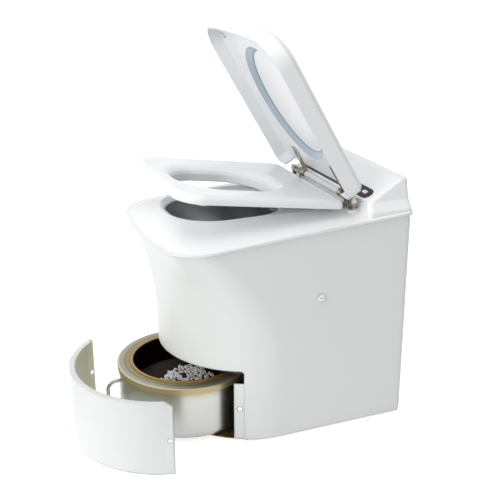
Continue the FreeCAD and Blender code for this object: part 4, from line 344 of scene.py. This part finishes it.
# Cap screws, panel screws and snap studs
# Plated steel: slotted cap screws in the cabinet's sides, pan-head screws round the back panel, and two
# sprung studs with rounded noses that the front cover snaps onto. The jaws' pins and the hinge rod are
# plated in the same way as the screws.
PLATED_DARK = (0.52, 0.52, 0.5)
PLATED_LIGHT = (0.68, 0.68, 0.66)
PLATED_STAIN = (0.3, 0.28, 0.24)
plated = stained_metal(
    "plated_steel",
    PLATED_DARK,
    PLATED_LIGHT,
    PLATED_STAIN,
    rough=(0.24, 0.45),
    blotch_scale=120.0,
    clean_share=0.55,
)
dress(plated, "side_screws", "back_panel_screws", "jaw_pivots", "hinge_rod")
STUD_DARK = (0.78, 0.78, 0.77)
STUD_LIGHT = (0.88, 0.88, 0.87)
stud_steel = toned_material(
    "stud_steel", STUD_DARK, STUD_LIGHT, rough=(0.16, 0.26), metal=1.0, tone_scale=120.0
)
dress(stud_steel, "left_stud", "right_stud")

# Back panel, boxes and ducts
# The service side is galvanised sheet: cut, folded and screwed, with the crystals of the zinc showing.
# The fan's housing, the outlet tube and the catalyst's can are rolled from it.
ZINC_METAL = 0.9
ZINC_ROUGH = (0.35, 0.55)


def spangled_sheet(name, dark, light, crystal_scale):
    """Galvanised sheet: flat crystals of zinc, each with a tone of its own."""
    material, nodes, links = new_material(name)
    shader = nodes["Principled BSDF"]
    shader.inputs["Metallic"].default_value = ZINC_METAL
    place = nodes.new("ShaderNodeTexCoord")
    crystals = nodes.new("ShaderNodeTexVoronoi")
    crystals.inputs["Scale"].default_value = crystal_scale
    links.new(place.outputs["Object"], crystals.inputs["Vector"])
    tone = nodes.new("ShaderNodeSeparateColor")
    links.new(crystals.outputs["Color"], tone.inputs["Color"])
    links.new(blend_colours(nodes, links, tone.outputs["Red"], dark, light), shader.inputs["Base Color"])
    links.new(blend_values(nodes, links, tone.outputs["Green"], *ZINC_ROUGH), shader.inputs["Roughness"])
    return material


ZINC_DARK = (0.42, 0.43, 0.44)
ZINC_LIGHT = (0.6, 0.61, 0.62)
galvanised = spangled_sheet("galvanised_sheet", ZINC_DARK, ZINC_LIGHT, crystal_scale=110.0)
dress(galvanised, "back_panel", "electronics_box", "pan_runners", "jaw_brackets")
dress(galvanised, "exhaust_spigot", "fan_housing", "catalyst_can")

# Motors, transformer and control parts
# Bought-in parts: two motors with painted steel cans, a transformer with a dark laminated core, a black
# terminal strip, a moulded impeller and two green circuit boards.
MOTOR_DARK = (0.2, 0.2, 0.21)
MOTOR_LIGHT = (0.32, 0.32, 0.33)
motor_paint = toned_material(
    "motor_paint", MOTOR_DARK, MOTOR_LIGHT, rough=(0.35, 0.5), metal=0.6, tone_scale=30.0
)
dress(motor_paint, "fan_motor", "jaw_gear_motor", "transformer")
PLASTIC_DARK = (0.02, 0.02, 0.021)
PLASTIC_LIGHT = (0.045, 0.045, 0.047)
black_plastic = toned_material(
    "black_plastic", PLASTIC_DARK, PLASTIC_LIGHT, rough=(0.4, 0.55), tone_scale=40.0
)
dress(black_plastic, "terminal_block", "fan_impeller")
BOARD_DARK = (0.02, 0.11, 0.05)
BOARD_LIGHT = (0.04, 0.19, 0.09)
board_green = toned_material("board_green", BOARD_DARK, BOARD_LIGHT, rough=(0.4, 0.6), tone_scale=80.0)
dress(board_green, "panel_board", "circuit_board")

# Burning chamber
# Welded stainless sheet that has been red-hot many times, so it is brown and blue-black. The element and
# the probe are sheathed rods, the wool is pressed ceramic fibre, and the catalyst's honeycomb is ceramic.
BURNT_DARK = (0.09, 0.06, 0.045)
BURNT_LIGHT = (0.26, 0.19, 0.13)
BURNT_BLUE = (0.05, 0.06, 0.09)
burnt_steel = stained_metal(
    "burnt_steel",
    BURNT_DARK,
    BURNT_LIGHT,
    BURNT_BLUE,
    rough=(0.4, 0.6),
    blotch_scale=18.0,
    clean_share=0.4,
)
dress(burnt_steel, "chute", "chamber_plate", "chamber_legs", "chamber_shell", "chamber_liner")
dress(burnt_steel, "chamber_top_plate", "heating_element", "thermocouple")
WOOL_DARK = (0.68, 0.66, 0.6)
WOOL_LIGHT = (0.84, 0.82, 0.77)
wool = toned_material(
    "ceramic_wool",
    WOOL_DARK,
    WOOL_LIGHT,
    rough=(0.9, 1.0),
    tone_scale=60.0,
    grain_scale=400.0,
    grain=0.0008,
)
dress(wool, "chamber_insulation", "pan_insulation", "catalyst_core")

# Top cover, seat, lid and hinge tube
# Injection mouldings in one glossy white plastic with a faint blue cast. The cover sits on the cabinet's
# top edge, and the seat and the lid hang on the hinge rod, on either side of a white sleeve. The start
# button is moulded in the same plastic.
MOULDING_SHADE = (0.86, 0.88, 0.89)
MOULDING_LIGHT = (0.89, 0.905, 0.915)
MOULDING_EDGE = 0.004
MOULDING_GRAIN = 600.0
moulding = toned_material(
    "white_moulding",
    MOULDING_SHADE,
    MOULDING_LIGHT,
    rough=(0.16, 0.24),
    grain_scale=MOULDING_GRAIN,
    edge_radius=MOULDING_EDGE,
)
dress(moulding, "top_cover", "seat", "lid", "hinge_tube", "start_button")

# Lid liner
# A thin tray pressed into the lid, with an oval recess. The recess's sloping wall is painted grey-blue as
# shade, and the painted shade is darkest where the wall meets the pale floor.
HINGE_PLACE = Vector((0, -0.07, 0.488))
LID_ANGLE = math.radians(59.5)
LINER_FACE = 0.009
RECESS_DEPTH = 0.012
LINER_ROUGH = (0.2, 0.3)
LINER_TONE_SCALE = 6.0
LINER_WHITE = (0.86, 0.88, 0.905)
# Painted shade on the recess's wall, by depth below the liner's face: grey-blue, darkest at the floor's
# edge.
RECESS_PAINTED_SHADE = (
    (0.0, LINER_WHITE),
    (0.04, (0.43, 0.47, 0.55)),
    (0.6, (0.45, 0.5, 0.57)),
    (0.88, (0.2, 0.32, 0.4)),
    (0.97, (0.92, 0.93, 0.94)),
)


def ramp_of(nodes, links, factor, stops):
    """A colour ramp through given stops, fed by a factor."""
    ramp = nodes.new("ShaderNodeValToRGB")
    while len(ramp.color_ramp.elements) < len(stops):
        ramp.color_ramp.elements.new(0.5)
    for element, (position, colour) in zip(ramp.color_ramp.elements, stops):
        element.position = position
        element.color = (*colour, 1)
    links.new(factor, ramp.inputs["Fac"])
    return ramp.outputs["Color"]


def share_between(nodes, links, value, low, high):
    """0 at one value and 1 at another, held beyond both."""
    span = nodes.new("ShaderNodeMapRange")
    span.inputs["From Min"].default_value = low
    span.inputs["From Max"].default_value = high
    links.new(value, span.inputs["Value"])
    return span.outputs["Result"]


liner_material, nodes, links = new_material("lid_liner")
shader = nodes["Principled BSDF"]
place = nodes.new("ShaderNodeTexCoord")
from_hinge = nodes.new("ShaderNodeVectorMath")
from_hinge.operation = "SUBTRACT"
from_hinge.inputs[1].default_value = HINGE_PLACE
links.new(place.outputs["Object"], from_hinge.inputs[0])
depth_in_lid = nodes.new("ShaderNodeVectorMath")
depth_in_lid.operation = "DOT_PRODUCT"
depth_in_lid.inputs[1].default_value = (0, math.sin(LID_ANGLE), math.cos(LID_ANGLE))
links.new(from_hinge.outputs["Vector"], depth_in_lid.inputs[0])
recess_end = LINER_FACE + RECESS_DEPTH
recess_share = share_between(nodes, links, depth_in_lid.outputs["Value"], LINER_FACE, recess_end)
# The ramp paints the recess wall's shade by depth.
links.new(ramp_of(nodes, links, recess_share, RECESS_PAINTED_SHADE), shader.inputs["Base Color"])
drift = add_unevenness(nodes, LINER_TONE_SCALE, MOULDING_GRAIN)
links.new(blend_values(nodes, links, drift.outputs["Tone"], *LINER_ROUGH), shader.inputs["Roughness"])
raise_surface(nodes, links, drift.outputs["Grain"], FINE_GRAIN)
dress(liner_material, "lid_liner")

# Rubber feet and buttons
# The seat stands on four pale rubber feet, and two soft buttons stop the lid on the seat. All are stuck
# onto the mouldings.
FOOT_DARK = (0.62, 0.64, 0.63)
FOOT_LIGHT = (0.74, 0.76, 0.75)
foot_rubber = toned_material("pale_rubber", FOOT_DARK, FOOT_LIGHT, rough=(0.5, 0.65), tone_scale=90.0)
dress(foot_rubber, "seat_bumpers", "lid_bumpers")

# Hinge posts, leaves and straps
# Cast and pressed stainless steel that has aged: dull, with brown tarnish in its corners. The posts are
# screwed to the deck and carry the rod, and the leaves and straps are screwed to the seat and the lid.
AGED_DARK = (0.36, 0.33, 0.28)
AGED_LIGHT = (0.6, 0.57, 0.52)
AGED_STAIN = (0.12, 0.085, 0.05)
aged_steel = stained_metal(
    "aged_steel", AGED_DARK, AGED_LIGHT, AGED_STAIN, rough=(0.28, 0.6), blotch_scale=90.0, clean_share=0.42
)
dress(aged_steel, "hinge_posts", "seat_hinge_leaves", "lid_hinge_straps")

# Control panel and indicator
# A glossy black plastic strip let into the console's slope, with a pale push button and a small clear
# lens over a lamp at its right end. Both come through holes from the board behind.
PANEL_DARK = (0.008, 0.008, 0.009)
PANEL_LIGHT = (0.02, 0.02, 0.022)
PANEL_SHINE = 0.15
panel_black = toned_material("panel_black", PANEL_DARK, PANEL_LIGHT, rough=(0.12, 0.2), tone_scale=12.0)
panel_shader = panel_black.node_tree.nodes["Principled BSDF"]
panel_shader.inputs["Specular IOR Level"].default_value = PANEL_SHINE
dress(panel_black, "control_panel")
LENS_SHADE = (0.66, 0.7, 0.7)
LENS_LIGHT = (0.8, 0.83, 0.83)
lens_clear = toned_material("lens_clear", LENS_SHADE, LENS_LIGHT, rough=(0.05, 0.1), tone_scale=200.0)
dress(lens_clear, "indicator_lens")

# Bowl frame and jaws
# Polished stainless sheet, bent and welded: a frame under the deck and two curved jaws that open to drop
# the paper liner. It mirrors the white surround, with fine scratches from wiping along the jaws.
BOWL_DARK = (0.78, 0.8, 0.82)
BOWL_LIGHT = (0.9, 0.91, 0.92)
BOWL_ROUGH = (0.12, 0.3)
BOWL_TONE_SCALE = 9.0
SCRATCH_STRETCH = (6.0, 900.0, 900.0)
mirror_steel, nodes, links = new_material("mirror_steel")
shader = nodes["Principled BSDF"]
shader.inputs["Metallic"].default_value = 1.0
place = nodes.new("ShaderNodeTexCoord")
stretch = nodes.new("ShaderNodeMapping")
stretch.inputs["Scale"].default_value = SCRATCH_STRETCH
links.new(place.outputs["Object"], stretch.inputs["Vector"])
scratches = nodes.new("ShaderNodeTexNoise")
scratches.inputs["Scale"].default_value = 1.0
links.new(stretch.outputs["Vector"], scratches.inputs["Vector"])
drift = add_unevenness(nodes, BOWL_TONE_SCALE, GRAIN_SCALE)
colour = blend_colours(nodes, links, drift.outputs["Tone"], BOWL_DARK, BOWL_LIGHT)
links.new(colour, shader.inputs["Base Color"])
links.new(blend_values(nodes, links, scratches.outputs["Fac"], *BOWL_ROUGH), shader.inputs["Roughness"])
dress(mirror_steel, "bowl_frame", "front_jaw", "rear_jaw")

# Ash pan and handle
# The outer pot is spun from stainless steel and brushed round its wall, with a golden heat tint just
# under the rim. The bent rod handle is welded to its front.
PAN_MIDDLE = Vector((0, -0.395, 0))
BRUSH_SCALE = 1400.0
BRUSH_DETAIL = 3.0
BRUSH_DEPTH = 0.00004


def pan_places_group():
    """Distance from the pan's axis, height, and fine brushing that runs round the axis."""
    group = bpy.data.node_groups.new("pan_places", "ShaderNodeTree")
    brush_in = group.interface.new_socket("Brush Scale", in_out="INPUT", socket_type="NodeSocketFloat")
    brush_in.default_value = BRUSH_SCALE
    for output_name in ("Radius", "Height", "Brush"):
        group.interface.new_socket(output_name, in_out="OUTPUT", socket_type="NodeSocketFloat")
    entry = group.nodes.new("NodeGroupInput")
    result = group.nodes.new("NodeGroupOutput")
    place = group.nodes.new("ShaderNodeTexCoord")
    centred = group.nodes.new("ShaderNodeVectorMath")
    centred.operation = "SUBTRACT"
    centred.inputs[1].default_value = PAN_MIDDLE
    group.links.new(place.outputs["Object"], centred.inputs[0])
    flat = group.nodes.new("ShaderNodeVectorMath")
    flat.operation = "MULTIPLY"
    flat.inputs[1].default_value = (1, 1, 0)
    group.links.new(centred.outputs["Vector"], flat.inputs[0])
    radius = group.nodes.new("ShaderNodeVectorMath")
    radius.operation = "LENGTH"
    group.links.new(flat.outputs["Vector"], radius.inputs[0])
    parts = group.nodes.new("ShaderNodeSeparateXYZ")
    group.links.new(centred.outputs["Vector"], parts.inputs["Vector"])
    profile = group.nodes.new("ShaderNodeCombineXYZ")
    group.links.new(radius.outputs["Value"], profile.inputs["X"])
    group.links.new(parts.outputs["Z"], profile.inputs["Y"])
    brush = group.nodes.new("ShaderNodeTexNoise")
    brush.inputs["Detail"].default_value = BRUSH_DETAIL
    group.links.new(profile.outputs["Vector"], brush.inputs["Vector"])
    group.links.new(entry.outputs["Brush Scale"], brush.inputs["Scale"])
    group.links.new(radius.outputs["Value"], result.inputs["Radius"])
    group.links.new(parts.outputs["Z"], result.inputs["Height"])
    group.links.new(brush.outputs["Fac"], result.inputs["Brush"])
    return group


pan_places = pan_places_group()


def add_pan_places(nodes, brush_scale):
    """The pan's group as a node with its brush scale."""
    node = nodes.new("ShaderNodeGroup")
    node.node_tree = pan_places
    node.inputs["Brush Scale"].default_value = brush_scale
    return node


POT_BOTTOM = 0.008
POT_TOP = 0.12
POT_TONES = (
    (0.0, (0.44, 0.43, 0.4)),
    (0.15, (0.54, 0.54, 0.53)),
    (0.8, (0.56, 0.56, 0.54)),
    (0.9, (0.5, 0.47, 0.38)),
    (1.0, (0.3, 0.22, 0.1)),
)
BRUSH_DARK = (0.8, 0.8, 0.8)
BRUSH_LIGHT = (1.0, 1.0, 1.0)


def brushed_steel(name, factor_name, low, high, tones, rough, brush_scale=BRUSH_SCALE, metal=1.0):
    """Brushed metal about the pan's axis, with tones that follow its radius or its height."""
    material, nodes, links = new_material(name)
    shader = nodes["Principled BSDF"]
    shader.inputs["Metallic"].default_value = metal
    places = add_pan_places(nodes, brush_scale)
    share = share_between(nodes, links, places.outputs[factor_name], low, high)
    tone = ramp_of(nodes, links, share, tones)
    brushing = blend_colours(nodes, links, places.outputs["Brush"], BRUSH_DARK, BRUSH_LIGHT)
    product = nodes.new("ShaderNodeMix")
    product.data_type = "RGBA"
    product.blend_type = "MULTIPLY"
    product.inputs["Factor"].default_value = 1.0
    colour_inputs = [item for item in product.inputs if item.type == "RGBA"]
    links.new(tone, colour_inputs[0])
    links.new(brushing, colour_inputs[1])
    colour_output = next(item for item in product.outputs if item.type == "RGBA")
    links.new(colour_output, shader.inputs["Base Color"])
    links.new(blend_values(nodes, links, places.outputs["Brush"], *rough), shader.inputs["Roughness"])
    raise_surface(nodes, links, places.outputs["Brush"], BRUSH_DEPTH)
    return material


pot_steel = brushed_steel("pot_steel", "Height", POT_BOTTOM, POT_TOP, POT_TONES, rough=(0.26, 0.4))
dress(pot_steel, "ash_pan")
HANDLE_DARK = (0.44, 0.44, 0.43)
HANDLE_LIGHT = (0.62, 0.62, 0.6)
HANDLE_STAIN = (0.24, 0.2, 0.14)
handle_steel = stained_metal(
    "handle_steel",
    HANDLE_DARK,
    HANDLE_LIGHT,
    HANDLE_STAIN,
    rough=(0.3, 0.5),
    blotch_scale=45.0,
    clean_share=0.5,
)
dress(handle_steel, "pan_handle")

# Pan rim
# A flat ring rolled from thicker stainless strip and welded onto the pot. Heat has turned its inner lip
# golden and its flat a dull straw colour, with a dark seam round the middle, and a pale band near its
# rolled outer edge is a painted highlight. It is brushed like the pot.
RIM_INNER = 0.116
RIM_OUTER = 0.148
RIM_TINT_AND_HIGHLIGHT = (
    (0.0, (0.5, 0.33, 0.1)),
    (0.08, (0.55, 0.4, 0.16)),
    (0.16, (0.2, 0.15, 0.07)),
    (0.22, (0.36, 0.31, 0.18)),
    (0.42, (0.34, 0.3, 0.18)),
    (0.48, (0.19, 0.16, 0.1)),
    (0.54, (0.38, 0.37, 0.28)),
    (0.85, (0.44, 0.43, 0.34)),
    # A painted highlight: the pale band on the rolled outer edge.
    (0.94, (0.78, 0.74, 0.6)),
    (1.0, (0.5, 0.42, 0.23)),
)
rim_steel = brushed_steel(
    "rim_steel",
    "Radius",
    RIM_INNER,
    RIM_OUTER,
    RIM_TINT_AND_HIGHLIGHT,
    rough=(0.3, 0.5),
    brush_scale=900.0,
    metal=0.6,
)
dress(rim_steel, "pan_rim")

# Inner pot
# A pot of stainless sheet that hangs in the rim and holds the ash. It is burnt brown-black inside, and
# only its top edge is still golden.
SOOT_LOW = 0.02
SOOT_HIGH = 0.1298
SOOT_TONES = (
    (0.0, (0.03, 0.014, 0.008)),
    (0.55, (0.055, 0.022, 0.01)),
    (0.93, (0.02, 0.011, 0.008)),
    (0.975, (0.14, 0.075, 0.02)),
    (1.0, (0.62, 0.42, 0.15)),
)
soot = brushed_steel(
    "sooty_steel", "Height", SOOT_LOW, SOOT_HIGH, SOOT_TONES, rough=(0.45, 0.65), brush_scale=300.0
)
dress(soot, "pan_liner")

# Ash heap
# Burnt remains in the inner pot: a low heap of brown-black char, soft and matt.
# It lies as it fell, and is tipped out with the pan.
ASH_DARK = (0.01, 0.006, 0.004)
ASH_LIGHT = (0.045, 0.028, 0.02)
ash_powder = toned_material(
    "ash_powder", ASH_DARK, ASH_LIGHT, rough=(0.9, 1.0), tone_scale=130.0, grain_scale=500.0, grain=0.0015
)
dress(ash_powder, "ash")

# Ash crystals
# On the right of the heap lie white, brittle lumps of mineral, about a centimetre across, with dark gaps
# between them. They are loose, and they go in and out with the pan.
LUMP_RADIUS = 0.0052
LUMPS_PER_SQUARE_METRE = 26000.0
LUMP_PLACE = (0.048, -0.404, 0.084)
LUMP_REACH = 0.057
LUMP_SEED = 7
LUMP_SUBDIVISIONS = 1
LUMP_THIN = (0.5, 0.45, 0.45)
LUMP_FAT = (1.25, 0.95, 0.9)
LUMP_DARK = (0.84, 0.83, 0.81)
LUMP_PALE = (0.96, 0.96, 0.95)
MERGE_DISTANCE = 0.000001
crystal_white = toned_material(
    "crystal_white", LUMP_DARK, LUMP_PALE, rough=(0.35, 0.6), tone_scale=170.0, grain=0.0006
)


def lump_tree(material):
    """Scatters small faceted lumps over the faces of a heap that lie within reach of a place."""
    tree = bpy.data.node_groups.new("ash_lumps", "GeometryNodeTree")
    tree.interface.new_socket("Heap", in_out="INPUT", socket_type="NodeSocketGeometry")
    sockets = {}
    for socket_name, socket_type in (
        ("Lumps per Area", "NodeSocketFloat"),
        ("Lump Radius", "NodeSocketFloat"),
        ("Place", "NodeSocketVector"),
        ("Reach", "NodeSocketFloat"),
        ("Seed", "NodeSocketInt"),
    ):
        socket = tree.interface.new_socket(socket_name, in_out="INPUT", socket_type=socket_type)
        sockets[socket_name] = socket.identifier
    tree.interface.new_socket("Lumps", in_out="OUTPUT", socket_type="NodeSocketGeometry")
    entry = tree.nodes.new("NodeGroupInput")
    result = tree.nodes.new("NodeGroupOutput")
    spot = tree.nodes.new("GeometryNodeInputPosition")
    away = tree.nodes.new("ShaderNodeVectorMath")
    away.operation = "DISTANCE"
    tree.links.new(spot.outputs["Position"], away.inputs[0])
    tree.links.new(entry.outputs["Place"], away.inputs[1])
    near_enough = tree.nodes.new("ShaderNodeMath")
    near_enough.operation = "LESS_THAN"
    tree.links.new(away.outputs["Value"], near_enough.inputs[0])
    tree.links.new(entry.outputs["Reach"], near_enough.inputs[1])
    scatter = tree.nodes.new("GeometryNodeDistributePointsOnFaces")
    tree.links.new(entry.outputs["Heap"], scatter.inputs["Mesh"])
    tree.links.new(near_enough.outputs[0], scatter.inputs["Selection"])
    tree.links.new(entry.outputs["Lumps per Area"], scatter.inputs["Density"])
    tree.links.new(entry.outputs["Seed"], scatter.inputs["Seed"])
    lump = tree.nodes.new("GeometryNodeMeshIcoSphere")
    lump.inputs["Subdivisions"].default_value = LUMP_SUBDIVISIONS
    tree.links.new(entry.outputs["Lump Radius"], lump.inputs["Radius"])
    shape = tree.nodes.new("FunctionNodeRandomValue")
    shape.data_type = "FLOAT_VECTOR"
    shape.inputs["Min"].default_value = LUMP_THIN
    shape.inputs["Max"].default_value = LUMP_FAT
    tree.links.new(entry.outputs["Seed"], shape.inputs["Seed"])
    turn = tree.nodes.new("FunctionNodeRandomValue")
    turn.data_type = "FLOAT_VECTOR"
    turn.inputs["Max"].default_value = (math.tau, math.tau, math.tau)
    tree.links.new(entry.outputs["Seed"], turn.inputs["Seed"])
    copies = tree.nodes.new("GeometryNodeInstanceOnPoints")
    tree.links.new(scatter.outputs["Points"], copies.inputs["Points"])
    tree.links.new(lump.outputs["Mesh"], copies.inputs["Instance"])
    tree.links.new(shape.outputs["Value"], copies.inputs["Scale"])
    tree.links.new(turn.outputs["Value"], copies.inputs["Rotation"])
    realize = tree.nodes.new("GeometryNodeRealizeInstances")
    tree.links.new(copies.outputs["Instances"], realize.inputs["Geometry"])
    painted = tree.nodes.new("GeometryNodeSetMaterial")
    painted.inputs["Material"].default_value = material
    tree.links.new(realize.outputs["Geometry"], painted.inputs["Geometry"])
    tree.links.new(painted.outputs["Geometry"], result.inputs["Lumps"])
    return tree, sockets


def merged_copy(node_name, copy_name):
    """A copy of a CAD node's mesh with its loose triangles joined."""
    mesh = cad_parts[node_name].data.copy()
    mesh.name = copy_name
    work = bmesh.new()
    work.from_mesh(mesh)
    bmesh.ops.remove_doubles(work, verts=work.verts, dist=MERGE_DISTANCE)
    work.to_mesh(mesh)
    work.free()
    return mesh


crystals = bpy.data.objects.new("ash_crystals", merged_copy("ash", "ash_crystals"))
scene.collection.objects.link(crystals)
lumps, lump_sockets = lump_tree(crystal_white)
scatter_lumps = crystals.modifiers.new("ash_lumps", "NODES")
scatter_lumps.node_group = lumps
scatter_lumps[lump_sockets["Lumps per Area"]] = LUMPS_PER_SQUARE_METRE
scatter_lumps[lump_sockets["Lump Radius"]] = LUMP_RADIUS
scatter_lumps[lump_sockets["Place"]] = LUMP_PLACE
scatter_lumps[lump_sockets["Reach"]] = LUMP_REACH
scatter_lumps[lump_sockets["Seed"]] = LUMP_SEED
evaluated = crystals.evaluated_get(bpy.context.evaluated_depsgraph_get())
crystal_mesh = bpy.data.meshes.new_from_object(evaluated)
crystals.modifiers.remove(scatter_lumps)
crystals.data = crystal_mesh
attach(crystals, "pan_group")

# Front cover
# A curved steel sheet with a turned-in top edge, coated white. Its inner faces and the flange's underside
# carry a painted olive-beige shade and warm reflection. It snaps onto the two studs by its holes, and here
# it stands on the floor.
INNER_SHADE_DARK = (0.86, 0.87, 0.64)
INNER_SHADE_LIGHT = (0.93, 0.94, 0.74)
INNER_SHADE_SLOT = 1
LEVEL_NORMAL = 0.5
SMOOTH_ANGLE = math.radians(30)
# Painted olive-beige shade and warm reflection for the cover's white inner faces.
inner_shade = toned_material("painted_inner_shade", INNER_SHADE_DARK, INNER_SHADE_LIGHT, rough=(0.4, 0.55), tone_scale=12.0)
cover_mesh = merged_copy("front_cover", "front_cover_sheet")
cover_mesh.materials.clear()
cover_mesh.materials.append(powder_coat)
cover_mesh.materials.append(inner_shade)
cover_low, cover_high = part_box("front_cover")
cover_half_height = (cover_low[2] + cover_high[2]) / 2
cover_inside = Vector((0, 0, 0))
for vertex in cover_mesh.vertices:
    cover_inside += vertex.co / len(cover_mesh.vertices)
for polygon in cover_mesh.polygons:
    polygon.use_smooth = True
    inwards = (cover_inside - polygon.center).dot(polygon.normal) > 0
    upright = abs(polygon.normal.z) < LEVEL_NORMAL
    under_flange = polygon.normal.z < -LEVEL_NORMAL and polygon.center.z > cover_half_height
    # Inner faces and the flange's underside take the painted shade.
    if under_flange or (inwards and upright):
        polygon.material_index = INNER_SHADE_SLOT
cover_mesh.set_sharp_from_angle(angle=SMOOTH_ANGLE)
cover = bpy.data.objects.new("front_cover_sheet", cover_mesh)
scene.collection.objects.link(cover)
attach(cover, "cover_group")
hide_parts("front_cover")
